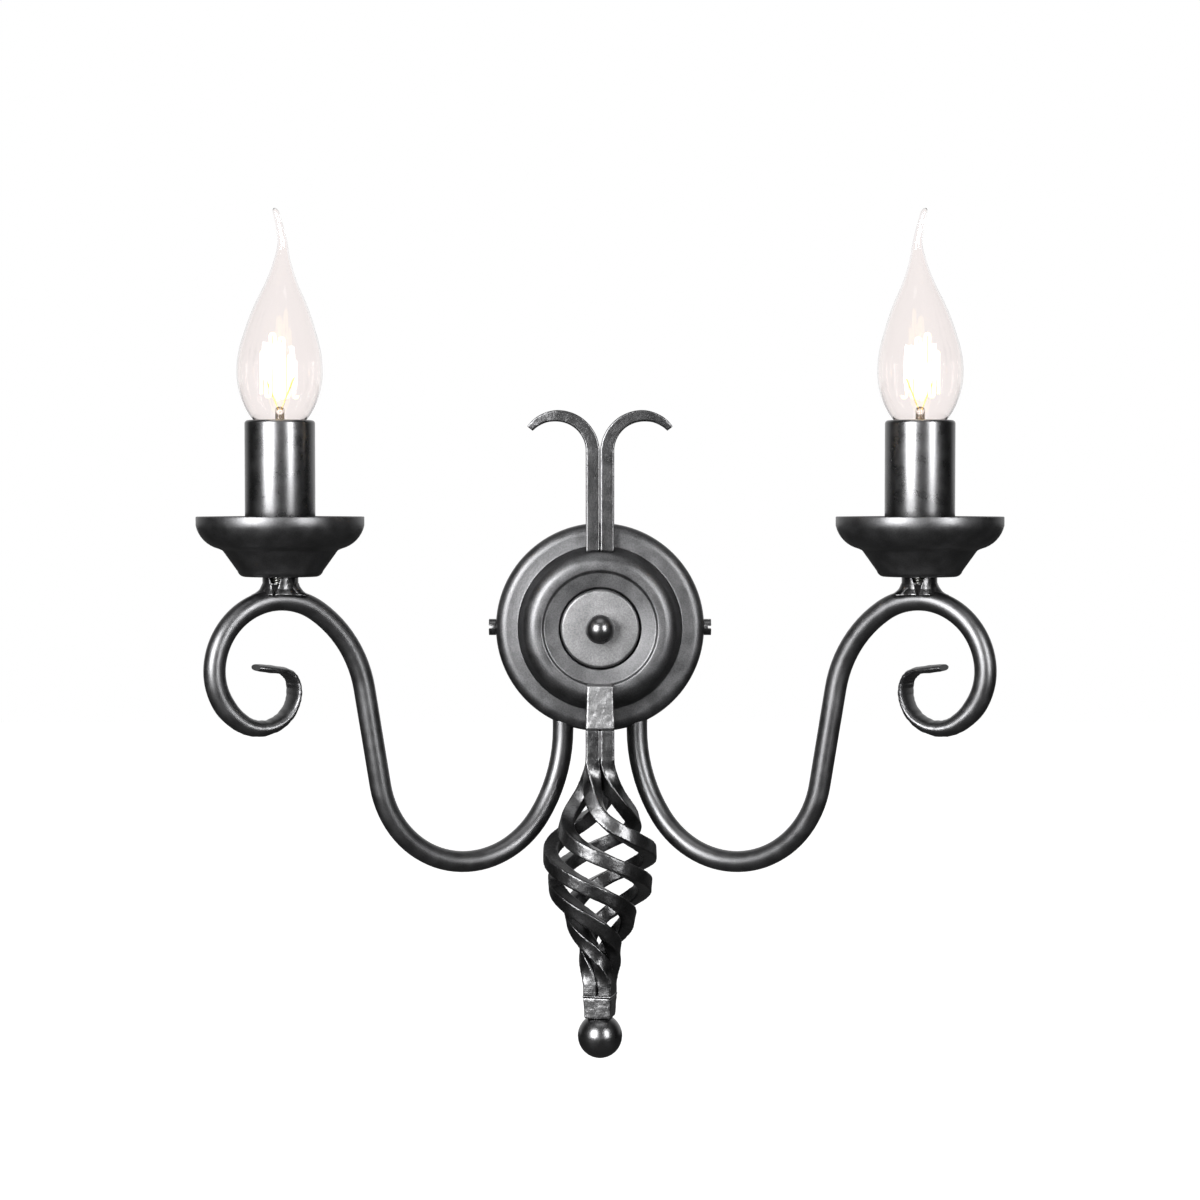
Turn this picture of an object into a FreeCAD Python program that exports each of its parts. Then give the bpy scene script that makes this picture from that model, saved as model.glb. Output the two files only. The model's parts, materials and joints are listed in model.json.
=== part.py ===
import FreeCAD, Part
import math
import os
import re
import Sketcher

# A two-arm wall candle light in wrought style. Millimetres.
# The wall is the plane Y = 0, the light stands at Y < 0, X is to the right as seen
# from the room, Z is up, and the origin is the middle of the canopy on the wall.
# "depth" is a distance out from the wall, so a depth d lies at Y = -d.

Vector = FreeCAD.Vector

doc = FreeCAD.newDocument("torch_sconce")
sizes = doc.addObject("Spreadsheet::Sheet", "sizes")

driving_sizes = {
    # gaps between pieces
    "running_gap": 0.05,
    "loose_gap": 0.3,
    "over_cut": 1.0,
    # canopy: a spun cup with a flat ring, a step, a domed crest and a dished middle
    "canopy_radius": 45.0,
    "canopy_wall": 1.0,
    "rim_height": 9.0,
    "rim_round": 5.0,
    "ring_inner": 35.4,
    "step_lean": 2.2,
    "step_height": 5.0,
    "dome_height": 4.0,
    "dome_round": 7.0,
    "crest_outer": 28.0,
    "crest_inner": 24.9,
    "dish_radius": 17.6,
    "dish_drop": 3.0,
    # wall bracket: a bent strap with two ears and a tab
    "strap_thick": 1.5,
    "strap_half_width": 8.0,
    "ear_gap": 1.8,
    "ear_height": 10.5,
    "tab_half_width": 12.0,
    "tab_top": 32.0,
    "slot_middle": 25.0,
    "slot_half_length": 3.0,
    "slot_radius": 2.25,
    # side screws that hold the canopy to the ears
    "side_screw_depth": 6.5,
    "side_screw_radius": 1.95,
    "side_head_radius": 3.5,
    "side_head_height": 3.0,
    "side_shank": 8.5,
    "slot_width": 1.2,
    "slot_depth": 1.4,
    "canopy_hole_gap": 0.3,
    # centre disc, stud, nut and ball nut
    "disc_radius": 16.8,
    "disc_thick": 3.8,
    "disc_round": 1.3,
    "stud_radius": 2.5,
    "stud_out": 7.0,
    "stud_in": 5.5,
    "nut_flat": 4.0,
    "nut_thick": 4.0,
    "ball_nut_radius": 6.3,
    "ball_nut_sink": 0.9,
    "ball_nut_bore": 8.0,
    # terminal block on the tab, earth screw on the strap
    "block_half_width": 12.0,
    "block_low": 12.0,
    "block_high": 28.0,
    "block_height": 10.0,
    "pole_pitch": 7.5,
    "screw_row": 3.2,
    "way_height": 4.0,
    "pole_well": 1.9,
    "well_depth": 5.0,
    "wire_way": 1.9,
    "earth_place": -12.0,
    "earth_radius": 1.95,
    "earth_head": 3.6,
    "earth_height": 2.2,
    "earth_round": 1.1,
    "earth_slot": 0.7,
    # arms: a round tube bent in one upright plane, its end hammered flat and curled
    "tube_radius": 4.5,
    "tube_bore": 3.5,
    "arm_place": 16.0,
    "arm_depth": 7.5,
    "arm_swing": 30.0,
    "arm_inside": 8.0,
    "arm_drop": 7.0,
    "bend_a_radius": 64.0,
    "bend_a_turn": 35.5,
    "bend_b_radius": 42.0,
    "bend_b_turn": 134.5,
    "rise_length": 41.3,
    "bend_c_radius": 50.0,
    "bend_c_turn": 46.0,
    "bend_d_radius": 29.0,
    "bend_d_turn": 116.0,
    "bend_e_radius": 25.0,
    "bend_e_turn": 69.0,
    "bend_f_radius": 14.0,
    "bend_f_turn": 102.0,
    "bend_g_radius": 12.5,
    "bend_g_turn": 80.0,
    "bend_k_radius": 4.5,
    "bend_k_turn": 33.0,
    "tip_run": 7.0,
    "flat_half_width": 5.6,
    "flat_half_thick": 1.6,
    "flat_from": 0.02,
    "flat_by": 0.82,
    "tip_from": 0.93,
    "tip_half_width": 1.4,
    "tip_thinning": 0.4,
    # lead inside each arm
    "lead_radius": 1.75,
    "lead_place": 5.5,
    "lead_turn": 5.0,
    "lead_drop": 6.0,
    "lead_slant": 24.5,
    # collar on the arm under the pan, hollow nipple and lock nut
    "collar_radius": 7.3,
    "collar_bore": 5.3,
    "collar_rise": 4.9,
    "collar_skirt": 2.6,
    "collar_spread": 1.2,
    "collar_cover": 2.4,
    "notch_width": 4.8,
    "notch_depth": 7.5,
    "notch_foot": 0.2,
    "notch_turn": 12.0,
    "nipple_radius": 5.0,
    "nipple_bore": 3.6,
    "nipple_up": 11.0,
    "lock_nut_flat": 7.0,
    "lock_nut_thick": 3.0,
    # drip pan, heights above its own underside
    "pan_radius": 34.2,
    "pan_wall": 1.0,
    "pan_height": 24.5,
    "pan_rim": 3.6,
    "pan_bead": 0.8,
    "bead_height": 1.8,
    "bowl_round": 12.5,
    "bowl_inner": 25.0,
    "bowl_low": 11.4,
    "crease_radius": 23.4,
    "crease_drop": 0.7,
    "foot_radius": 17.4,
    "foot_height": 2.3,
    "foot_round": 3.2,
    "floor_radius": 14.9,
    "bowl_shift": 0.3,
    "crease_shift": 0.8,
    "foot_shift": 0.6,
    # candle sleeve
    "sleeve_radius": 14.3,
    "sleeve_wall": 0.7,
    "sleeve_length": 62.7,
    "sleeve_round": 1.4,
    "sleeve_mouth": 12.4,
    # lampholder in the sleeve, heights above the pan floor
    "holder_radius": 13.2,
    "holder_stem": 7.2,
    "holder_clear": 1.8,
    "holder_round": 1.0,
    "skirt_start": 24.0,
    "skirt_slope": 6.0,
    "socket_floor": 31.5,
    "floor_thick": 4.0,
    "shell_radius": 7.5,
    "shell_wall": 0.3,
    "shell_length": 17.0,
    "contact_radius": 3.2,
    "contact_thick": 1.2,
    # bulb with a bent tip
    "cap_radius": 6.9,
    "cap_height": 16.0,
    "insulator_radius": 4.6,
    "insulator_height": 2.6,
    "button_radius": 2.2,
    "button_height": 1.2,
    "cap_round": 0.6,
    "cap_spread": 2.0,
    "cap_collar_radius": 8.5,
    "cap_wall": 0.4,
    "glass_wall": 0.7,
    "glass_neck": 7.9,
    "neck_height": 2.2,
    "mouth_glass": 10.9,
    "mouth_height": 4.9,
    "belly_glass": 17.5,
    "belly_height": 24.4,
    "belly_round": 32.1,
    "shoulder_glass": 14.8,
    "shoulder_height": 39.9,
    "shoulder_round": 46.0,
    "taper_glass": 8.2,
    "taper_height": 57.0,
    "taper_round": 90.0,
    "waist_round": 70.0,
    "stalk_glass": 2.0,
    "stalk_height": 76.2,
    "tip_glass": 1.4,
    "tip_height": 92.0,
    "tip_lean": 2.2,
    "filament_radius": 0.5,
    "filament_spread": 6.5,
    "filament_low": 15.0,
    "filament_high": 33.0,
    "mount_radius": 2.6,
    "stem_flare": 1.1,
    "zigzag_height": 2.0,
    # horns: two square bars side by side, drawn down to their tips
    "bar_width": 6.0,
    "bar_seam": 0.1,
    "horn_grip": 12.4,
    "horn_run": 43.0,
    "horn_curl": 15.4,
    "horn_droop": 14.8,
    "droop_turn": 51.0,
    "horn_crest_width": 4.8,
    "horn_tip_width": 3.0,
    "horn_tip_depth": 4.4,
    # basket: four square rods twisted together and spread
    "block_top_width": 11.0,
    "block_length": 18.8,
    "block_foot": 2.6,
    "rod_lead": 11.8,
    "twist_length": 99.2,
    "twist_total": 437.0,
    "twist_build": 0.36,
    "twist_fade": 0.145,
    "basket_radius": 21.4,
    "basket_peak": 43.8,
    "basket_tail": 55.0,
    "basket_power": 2.7,
    "turn_in": 0.18,
    "turn_out": 0.3,
    "foot_block_width": 11.2,
    "rod_tail": 3.2,
    "foot_block_length": 9.0,
    "ball_radius": 9.5,
    "ball_flat": 4.9,
}
for row, (name, value) in enumerate(driving_sizes.items(), start=1):
    sizes.set(f"A{row}", name)
    sizes.set(f"B{row}", str(value))
    sizes.setAlias(f"B{row}", name)
doc.recompute()


def bound(text):
    # a formula in the sheet's own names, as an expression of the document
    return re.sub(r"[a-z]+_[a-z_]+[a-z]", lambda word: "sizes." + word.group(), text)


def size(text):
    # the value of such a formula
    return float(sizes.evalExpression(bound(text)))


def bind(item, **formulas):
    for prop, text in formulas.items():
        item.setExpression(prop, bound(text))
    return item


finished = []


def finish(item, label, place=None):
    item.Label = label
    if place is not None:
        item.Placement = place
    finished.append(item)
    return item


def shaped(label, shape, place=None):
    item = doc.addObject("Part::Feature", label)
    item.Shape = shape
    return finish(item, label, place or FreeCAD.Placement())


# ---------------------------------------------------------------- sketches and bodies


def arcCentre(start, end, radius, turn):
    # centre of the short arc from start to end that turns left or right
    chord = end - start
    half = chord.Length / 2
    rise = math.sqrt(max(radius * radius - half * half, 0.0))
    left = Vector(-chord.y, chord.x, 0).normalize()
    return (start + end) / 2 + left * (rise if turn == "left" else -rise)


def addSide(sketch, start, end, corner):
    # one side of an outline; returns the positions of its first and last point
    if len(corner) == 2:
        side = sketch.addGeometry(Part.LineSegment(start, end))
        return side, 1, 2
    radius, turn = size(corner[2]), corner[3]
    centre = arcCentre(start, end, radius, turn)
    first, last = (start, end) if turn == "left" else (end, start)
    angles = [math.atan2(p.y - centre.y, p.x - centre.x) for p in (first, last)]
    if angles[1] <= angles[0]:
        angles[1] += 2 * math.pi
    circle = Part.Circle(centre, Vector(0, 0, 1), radius)
    side = sketch.addGeometry(Part.ArcOfCircle(circle, *angles))
    row = sketch.addConstraint(Sketcher.Constraint("Radius", side, radius))
    sketch.setExpression(f"Constraints[{row}]", bound(corner[2]))
    return (side, 1, 2) if turn == "left" else (side, 2, 1)


def hold(sketch, side, point, axis, text):
    # ties one coordinate of a point to the sheet
    value = size(text)
    if abs(value) < 1e-9:
        line = -2 if axis == "DistanceX" else -1
        sketch.addConstraint(Sketcher.Constraint("PointOnObject", side, point, line))
        return
    row = sketch.addConstraint(Sketcher.Constraint(axis, -1, 1, side, point, value))
    sketch.setExpression(f"Constraints[{row}]", bound(text))


def newSketch(body, name, role):
    sketch = body.newObject("Sketcher::SketchObject", name)
    plane = next(part for part in body.Origin.OriginFeatures if part.Role == role)
    sketch.AttachmentSupport = (plane, [""])
    sketch.MapMode = "FlatFace"
    return sketch


def addOutline(sketch, corners):
    # corners are (x, y) or, where the side that arrives is an arc, (x, y, radius, turn)
    places = [Vector(size(corner[0]), size(corner[1]), 0) for corner in corners]
    sides = [
        addSide(sketch, places[index - 1], places[index], corner)
        for index, corner in enumerate(corners)
    ]
    for index, (side, first, last) in enumerate(sides):
        before, _, joint = sides[index - 1]
        sketch.addConstraint(Sketcher.Constraint("Coincident", before, joint, side, first))
        hold(sketch, side, last, "DistanceX", corners[index][0])
        hold(sketch, side, last, "DistanceY", corners[index][1])


def rectangle(left, low, right, high):
    return [(left, low), (right, low), (right, high), (left, high)]


def addCircle(sketch, x, y, radius):
    place = Vector(size(x), size(y), 0)
    ring = sketch.addGeometry(Part.Circle(place, Vector(0, 0, 1), size(radius)))
    row = sketch.addConstraint(Sketcher.Constraint("Radius", ring, size(radius)))
    sketch.setExpression(f"Constraints[{row}]", bound(radius))
    hold(sketch, ring, 3, "DistanceX", x)
    hold(sketch, ring, 3, "DistanceY", y)


def turned(corners):
    # a solid of revolution about Z from the same kind of outline (radius, height)
    places = [Vector(size(corner[0]), 0, size(corner[1])) for corner in corners]
    sides = []
    for index, corner in enumerate(corners):
        start, end = places[index - 1], places[index]
        if len(corner) == 2:
            sides.append(Part.LineSegment(start, end).toShape())
            continue
        flat = [Vector(point.x, point.z, 0) for point in (start, end)]
        centre = arcCentre(*flat, size(corner[2]), corner[3])
        middle = (flat[0] + flat[1]) / 2
        middle = centre + (middle - centre).normalize() * size(corner[2])
        sides.append(Part.Arc(start, Vector(middle.x, 0, middle.y), end).toShape())
    return Part.Face(Part.Wire(sides)).revolve(Vector(), Vector(0, 0, 1), 360)


def newBody(name):
    return doc.addObject("PartDesign::Body", name)


def revolve(body, corners):
    # a full turn of an outline (radius, height) about the body's own Z axis
    sketch = newSketch(body, body.Name + "_outline", "XZ_Plane")
    addOutline(sketch, corners)
    feature = body.newObject("PartDesign::Revolution", body.Name + "_turned")
    feature.Profile = sketch
    feature.ReferenceAxis = (sketch, ["V_Axis"])
    feature.Angle = 360
    doc.recompute()


def pad(body, sketch, length, reach="One side"):
    raised = body.newObject("PartDesign::Pad", sketch.Name + "_pad")
    raised.Profile = sketch
    raised.SideType = reach
    bind(raised, Length=length)
    doc.recompute()


def pocket(body, sketch, length, reach="One side", reverse=False):
    # cuts, and makes sure that it did cut
    before = body.Shape.Volume
    taken = body.newObject("PartDesign::Pocket", sketch.Name + "_pocket")
    taken.Profile = sketch
    taken.SideType = reach
    taken.Reversed = reverse
    bind(taken, Length=length)
    doc.recompute()
    if body.Shape.Volume > before - 0.1:
        raise RuntimeError(sketch.Name + " cuts nothing")


def cylinder(name, radius, height):
    return bind(doc.addObject("Part::Cylinder", name), Radius=radius, Height=height)


def cut(name, base, tool):
    result = doc.addObject("Part::Cut", name)
    result.Base = base
    result.Tool = tool
    return result


def hexNut(label, flat, thick, bore, place):
    blank = doc.addObject("Part::Prism", label + "_blank")
    blank.Polygon = 6
    bind(blank, Circumradius=f"{flat} / cos(30)", Height=thick)
    nut = cut(label, blank, cylinder(label + "_bore", bore, thick))
    return finish(nut, label, place)


# ---------------------------------------------------------------- frames

facing = FreeCAD.Rotation(Vector(1, 0, 0), 90)  # turns a part's Z axis out of the wall


def fromWall(depth="0"):
    return FreeCAD.Placement(Vector(0, -size(depth), 0), facing)


pan_base = "(tube_radius + collar_rise)"
pan_floor = f"({pan_base} + pan_wall)"
holder_low = "lock_nut_thick"
cap_foot = "(button_height + insulator_height)"
holder_length = (f"(socket_floor + contact_thick + loose_gap + {cap_foot} + cap_height"
                 " - holder_clear)")
arm_start = "(arm_inside - canopy_radius)"
horn_low = "(canopy_radius - horn_grip)"
rods_start = "(canopy_radius - block_foot)"
block_top = f"({rods_start} - block_length)"
twist_start = f"({rods_start} + rod_lead)"
twist_end = f"({twist_start} + twist_length)"
rods_end = f"({twist_end} + rod_tail)"
ring_depth = "(rim_height + rim_round)"
step_top = f"({ring_depth} + step_height)"
crest_depth = f"({step_top} + dome_height)"
dish_depth = f"({crest_depth} - dish_drop)"
disc_front = f"({dish_depth} + disc_thick)"


# ---------------------------------------------------------------- canopy


def canopyFront():
    # the outer face, from the rim on the wall to the dish's edge
    return [
        ("canopy_radius", "rim_height"),
        ("canopy_radius - rim_round", ring_depth, "rim_round", "left"),
        ("ring_inner", ring_depth),
        ("ring_inner - step_lean", step_top),
        ("crest_outer", crest_depth, "dome_round", "left"),
        ("crest_inner", crest_depth),
        ("dish_radius", dish_depth),
    ]


def canopyBack():
    # the inner face, one wall behind it
    wall = " - canopy_wall"
    return [
        ("dish_radius", dish_depth + wall),
        ("crest_inner", crest_depth + wall),
        ("crest_outer - canopy_wall", crest_depth + wall),
        ("ring_inner - step_lean - canopy_wall", step_top + wall, "dome_round", "right"),
        ("ring_inner - canopy_wall", ring_depth + wall),
        ("canopy_radius - rim_round", ring_depth + wall),
        ("canopy_radius - canopy_wall", "rim_height", "rim_round - canopy_wall", "right"),
    ]


def makeCanopyForm():
    # the canopy as a filled solid, against which the bars are fitted
    body = newBody("canopy_form")
    front = [("0", "0"), ("canopy_radius", "0")] + canopyFront()
    revolve(body, front + [("0", dish_depth)])
    body.Placement = fromWall()
    return body


def makeCanopy():
    body = newBody("canopy")
    middle = [
        ("stud_radius + running_gap", dish_depth),
        ("stud_radius + running_gap", dish_depth + " - canopy_wall"),
    ]
    rim = [("canopy_radius - canopy_wall", "0"), ("canopy_radius", "0")]
    revolve(body, rim + canopyFront() + middle + canopyBack())
    side = newSketch(body, "side_holes", "YZ_Plane")
    addCircle(side, "0", "side_screw_depth", "side_screw_radius + canopy_hole_gap")
    pocket(body, side, "2 * (canopy_radius + over_cut)", "Symmetric")
    below = newSketch(body, "arm_holes", "XZ_Plane")
    for place in ("-arm_place", "arm_place"):
        addCircle(below, place, "arm_depth", "tube_radius + running_gap")
    pocket(body, below, "canopy_radius + over_cut", reverse=True)
    return finish(body, "canopy", fromWall())


# ---------------------------------------------------------------- wall bracket


def makeBracket():
    body = newBody("wall_bracket")
    reach = "(canopy_radius - canopy_wall - ear_gap)"
    high, tab = "strap_half_width", "tab_half_width"
    strap = newSketch(body, "strap", "XY_Plane")
    addOutline(strap, [
        (f"-{reach}", f"-{high}"), (reach, f"-{high}"), (reach, high), (tab, high),
        (tab, "tab_top"), (f"-{tab}", "tab_top"), (f"-{tab}", high), (f"-{reach}", high),
    ])
    pad(body, strap, "strap_thick")
    ears = newSketch(body, "ears", "XY_Plane")
    addOutline(ears, rectangle(f"-{reach}", f"-{high}", f"strap_thick - {reach}", high))
    addOutline(ears, rectangle(f"{reach} - strap_thick", f"-{high}", reach, high))
    pad(body, ears, "ear_height")
    threads = newSketch(body, "ear_holes", "YZ_Plane")
    addCircle(threads, "0", "side_screw_depth", "side_screw_radius + running_gap")
    pocket(body, threads, "2 * canopy_radius", "Symmetric")
    holes = newSketch(body, "wall_holes", "XY_Plane")
    for middle in ("-slot_middle", "slot_middle"):
        left, right = f"{middle} - slot_half_length", f"{middle} + slot_half_length"
        end = ("slot_radius", "right")
        addOutline(holes, [
            (right, "slot_radius"), (f"{right} + slot_radius", "0", *end),
            (right, "-slot_radius", *end), (left, "-slot_radius"),
            (f"{left} - slot_radius", "0", *end), (left, "slot_radius", *end),
        ])
    addCircle(holes, "earth_place", "0", "earth_radius + running_gap")
    pocket(body, holes, "strap_thick", reverse=True)
    return finish(body, "wall_bracket", fromWall())


# ---------------------------------------------------------------- screws, disc and ball


def makeSideScrew(label, turn, side):
    body = newBody(label)
    revolve(body, [
        ("0", "-side_shank"), ("side_screw_radius", "-side_shank"),
        ("side_screw_radius", "0"), ("side_head_radius", "0"),
        ("side_head_radius", "side_head_height"), ("0", "side_head_height"),
    ])
    slot = newSketch(body, label + "_slot", "XZ_Plane")
    low = "side_head_height - slot_depth"
    addOutline(slot, rectangle("-slot_width / 2", low, "slot_width / 2", "side_head_height + over_cut"))
    pocket(body, slot, "4 * side_head_radius", "Symmetric")
    place = Vector(side * size("canopy_radius + running_gap"), -size("side_screw_depth"), 0)
    return finish(body, label, FreeCAD.Placement(place, FreeCAD.Rotation(Vector(0, 1, 0), turn)))


def makeCentre():
    disc = newBody("cover_disc")
    bore = "stud_radius + running_gap"
    revolve(disc, [
        (bore, "0"), ("disc_radius", "0"), ("disc_radius", "disc_thick - disc_round"),
        ("disc_radius - disc_round", "disc_thick", "disc_round", "left"),
        (bore, "disc_thick"),
    ])
    finish(disc, "cover_disc", fromWall(dish_depth))
    stud = cylinder("centre_stud", "stud_radius",
                    "stud_in + canopy_wall + disc_thick + stud_out")
    finish(stud, "centre_stud", fromWall(f"{dish_depth} - canopy_wall - stud_in"))
    hexNut("stud_nut", "nut_flat", "nut_thick", bore,
           fromWall(f"{dish_depth} - canopy_wall - nut_thick"))
    ball = newBody("ball_nut")
    middle = "(ball_nut_radius - ball_nut_sink)"
    foot = "sqrt(ball_nut_radius ^ 2 - (ball_nut_radius - ball_nut_sink) ^ 2)"
    revolve(ball, [
        (bore, "0"), (foot, "0"),
        ("0", f"{middle} + ball_nut_radius", "ball_nut_radius", "left"),
        ("0", "ball_nut_bore"), (bore, "ball_nut_bore"),
    ])
    finish(ball, "ball_nut", fromWall(f"{disc_front} + running_gap"))


def makeTerminals():
    block = newBody("terminal_block")
    base = newSketch(block, "block_base", "XY_Plane")
    wide = "block_half_width"
    addOutline(base, rectangle(f"-{wide}", "block_low", wide, "block_high"))
    pad(block, base, "block_height")
    wells = newSketch(block, "block_wells", "XY_Plane")
    wells.setExpression("AttachmentOffset.Base.z", bound("block_height"))
    for pole in ("-pole_pitch", "0", "pole_pitch"):
        for row in ("block_low + screw_row", "block_high - screw_row"):
            addCircle(wells, pole, row, "pole_well")
    doc.recompute()
    pocket(block, wells, "well_depth")
    ways = newSketch(block, "block_ways", "XZ_Plane")
    for pole in ("-pole_pitch", "0", "pole_pitch"):
        addCircle(ways, pole, "way_height", "wire_way")
    pocket(block, ways, "block_high + over_cut")
    finish(block, "terminal_block", fromWall("strap_thick"))
    screw = newBody("earth_screw")
    revolve(screw, [
        ("0", "-strap_thick + running_gap"), ("earth_radius", "-strap_thick + running_gap"),
        ("earth_radius", "0"), ("earth_head", "0"), ("earth_head", "earth_height - earth_round"),
        ("earth_head - earth_round", "earth_height", "earth_round", "left"),
        ("0", "earth_height"),
    ])
    cross = newSketch(screw, "earth_slot", "XZ_Plane")
    low = "earth_height - earth_slot"
    addOutline(cross, rectangle("-slot_width / 2", low, "slot_width / 2", "earth_height + over_cut"))
    pocket(screw, cross, "4 * earth_head", "Symmetric")
    place = Vector(size("earth_place"), -size("strap_thick"), 0)
    finish(screw, "earth_screw", FreeCAD.Placement(place, facing))


# ---------------------------------------------------------------- bent bars


def bentPath(start, heading, steps):
    # straight runs and bends in the local XZ plane; a step is a length or (radius, turn)
    spans = []
    point, angle = Vector(start), math.radians(heading)
    for step in steps:
        ahead = Vector(math.cos(angle), 0, math.sin(angle))
        if not isinstance(step, tuple):
            spans.append({"start": point, "angle": angle, "length": step, "centre": None})
            point = point + ahead * step
            continue
        radius, turn = step[0], math.radians(step[1])
        hand = 1 if turn > 0 else -1
        centre = point + Vector(-ahead.z, 0, ahead.x) * (radius * hand)
        spans.append({"start": point, "angle": angle, "length": radius * abs(turn),
                      "centre": centre, "radius": radius, "hand": hand})
        angle += turn
        point = centre + Vector(math.sin(angle), 0, -math.cos(angle)) * (radius * hand)
    return spans


def along(spans, distance):
    # point and heading at a distance along the path
    for span in spans:
        if distance <= span["length"] or span is spans[-1]:
            break
        distance -= span["length"]
    angle = span["angle"]
    if span["centre"] is None:
        return span["start"] + Vector(math.cos(angle), 0, math.sin(angle)) * distance, angle
    angle += span["hand"] * distance / span["radius"]
    outward = Vector(math.sin(angle), 0, -math.cos(angle)) * (span["radius"] * span["hand"])
    return span["centre"] + outward, angle


def pathLength(spans):
    return sum(span["length"] for span in spans)


def pathWire(spans, place=None):
    # the same path as a wire of lines and arcs
    place = place or FreeCAD.Placement()
    edges = []
    for span in spans:
        ends = [along([span], span["length"] * share)[0] for share in (0, 0.5, 1)]
        first, middle, last = [place.multVec(point) for point in ends]
        if span["centre"] is None:
            edges.append(Part.LineSegment(first, last).toShape())
        else:
            edges.append(Part.Arc(first, middle, last).toShape())
    return Part.Wire(edges)


def tube(path, radius):
    # a round bar along a wire
    edge = path.OrderedEdges[0]
    start, ahead = edge.valueAt(edge.FirstParameter), edge.tangentAt(edge.FirstParameter)
    ring = Part.Wire(Part.makeCircle(radius, start, ahead))
    return path.makePipeShell([ring], True, True)


def stadiumWire(centre, across, side, half_across, half_side):
    # a flat bar's section: two straight sides with half-round edges
    half = max(half_side - half_across, size("running_gap"))
    left, right = centre - side * half, centre + side * half
    up = across * half_across
    return Part.Wire([
        Part.LineSegment(right + up, left + up).toShape(),
        Part.Arc(left + up, left - side * half_across, left - up).toShape(),
        Part.LineSegment(left - up, right - up).toShape(),
        Part.Arc(right - up, right + side * half_across, right + up).toShape(),
    ])


# ---------------------------------------------------------------- arms


def armSteps():
    signs = {"a": 1, "b": 1, "c": -1, "d": -1, "e": -1, "f": -1, "g": -1, "k": -1}
    bends = {
        name: (size(f"bend_{name}_radius"), sign * size(f"bend_{name}_turn"))
        for name, sign in signs.items()
    }
    return [size("arm_drop"), bends["a"], bends["b"], size("rise_length"), bends["c"],
            bends["d"], bends["e"], bends["f"], bends["g"], bends["k"], size("tip_run")]


arm_path = bentPath(Vector(0, 0, size(arm_start)), -90, armSteps())
crest_span = arm_path[5]
arm_crest = crest_span["centre"] + Vector(0, 0, crest_span["radius"])


def armPlace(side):
    # the arm's plane leans forward from the wall by arm_swing, to the left or right
    swing = size("arm_swing")
    turn = FreeCAD.Rotation(Vector(0, 0, 1), -swing if side > 0 else swing - 180)
    return FreeCAD.Placement(Vector(side * size("arm_place"), -size("arm_depth"), 0), turn)


def candlePlace(side, height=0.0):
    # a point on the candle's axis, by its height above the middle of the arm's crest
    place = armPlace(side).multVec(arm_crest)
    return FreeCAD.Placement(place + Vector(0, 0, height), FreeCAD.Rotation())


def hammeredEnd(spans):
    # from round to flat along the scroll, rounded off at the tip
    length, radius = pathLength(spans), size("tube_radius")
    begin, end, tip_from = size("flat_from"), size("flat_by"), size("tip_from")
    tip, thinning = size("tip_half_width"), size("tip_thinning")
    stations = [0, 0.02, 0.12, 0.24, 0.36, 0.48, 0.6, 0.7, 0.79, 0.86, 0.92, 0.965, 0.99, 1.0]
    sections = []
    for share in stations:
        point, angle = along(spans, length * share)
        flat = min(max(share - begin, 0) / (end - begin), 1)
        wide = radius + (size("flat_half_width") - radius) * flat
        thick = radius + (size("flat_half_thick") - radius) * flat
        round_off = math.sqrt(1 - (max(share - tip_from, 0) / (1 - tip_from)) ** 2)
        wide = tip + (wide - tip) * round_off
        thick *= 1 - thinning * (1 - round_off)
        across = Vector(-math.sin(angle), 0, math.cos(angle))
        sections.append(stadiumWire(point, across, Vector(0, 1, 0), thick, wide))
    return Part.makeLoft(sections, True, False)


def makeArm(label, side):
    round_part, scroll = arm_path[:6], arm_path[6:]
    wire = pathWire(round_part)
    bar = tube(wire, size("tube_radius")).fuse(hammeredEnd(scroll))
    arm = bar.cut(tube(wire, size("tube_bore")))
    way = Part.makeCylinder(size("tube_bore"), size("2 * tube_radius"), arm_crest)
    return shaped(label, arm.cut(way), armPlace(side))


def makeLead(label, side):
    # out of the block, past the strap, down to the arm, through it and up the nipple
    low, entry = size("block_low"), size(arm_start)
    gap, drop, slant = size("loose_gap"), size("lead_drop"), size("lead_slant")
    shift = size("arm_place") - size("lead_place")
    bend = (slant * slant + shift * shift) / (4 * shift)
    turn = math.degrees(2 * math.atan2(shift, slant))
    inside = bentPath(
        Vector(size("lead_place"), 0, low - gap), -90,
        [drop, (bend, turn), (bend, -turn), low - gap - drop - slant - entry])
    corner = size("lead_turn") + crest_span["radius"]
    leave = math.asin(size("lead_turn") / corner)
    steps = armSteps()[:6]
    steps[5] = (steps[5][0], -(math.degrees(crest_span["angle"] - leave) % 360))
    top = size(f"{pan_floor} + {holder_low} + socket_floor - loose_gap")
    up = top - corner * math.cos(leave) + crest_span["radius"]
    steps += [(size("lead_turn"), 90 - math.degrees(leave)), up]
    outside = bentPath(Vector(0, 0, entry), -90, steps)
    mirror = FreeCAD.Placement(
        Vector(0, -size("arm_depth"), 0),
        FreeCAD.Rotation() if side > 0 else FreeCAD.Rotation(Vector(0, 0, 1), 180))
    edges = pathWire(inside, mirror).Edges + pathWire(outside, armPlace(side)).Edges
    return shaped(label, tube(Part.Wire(edges), size("lead_radius")))


# ---------------------------------------------------------------- collar, nipple and nut



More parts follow.
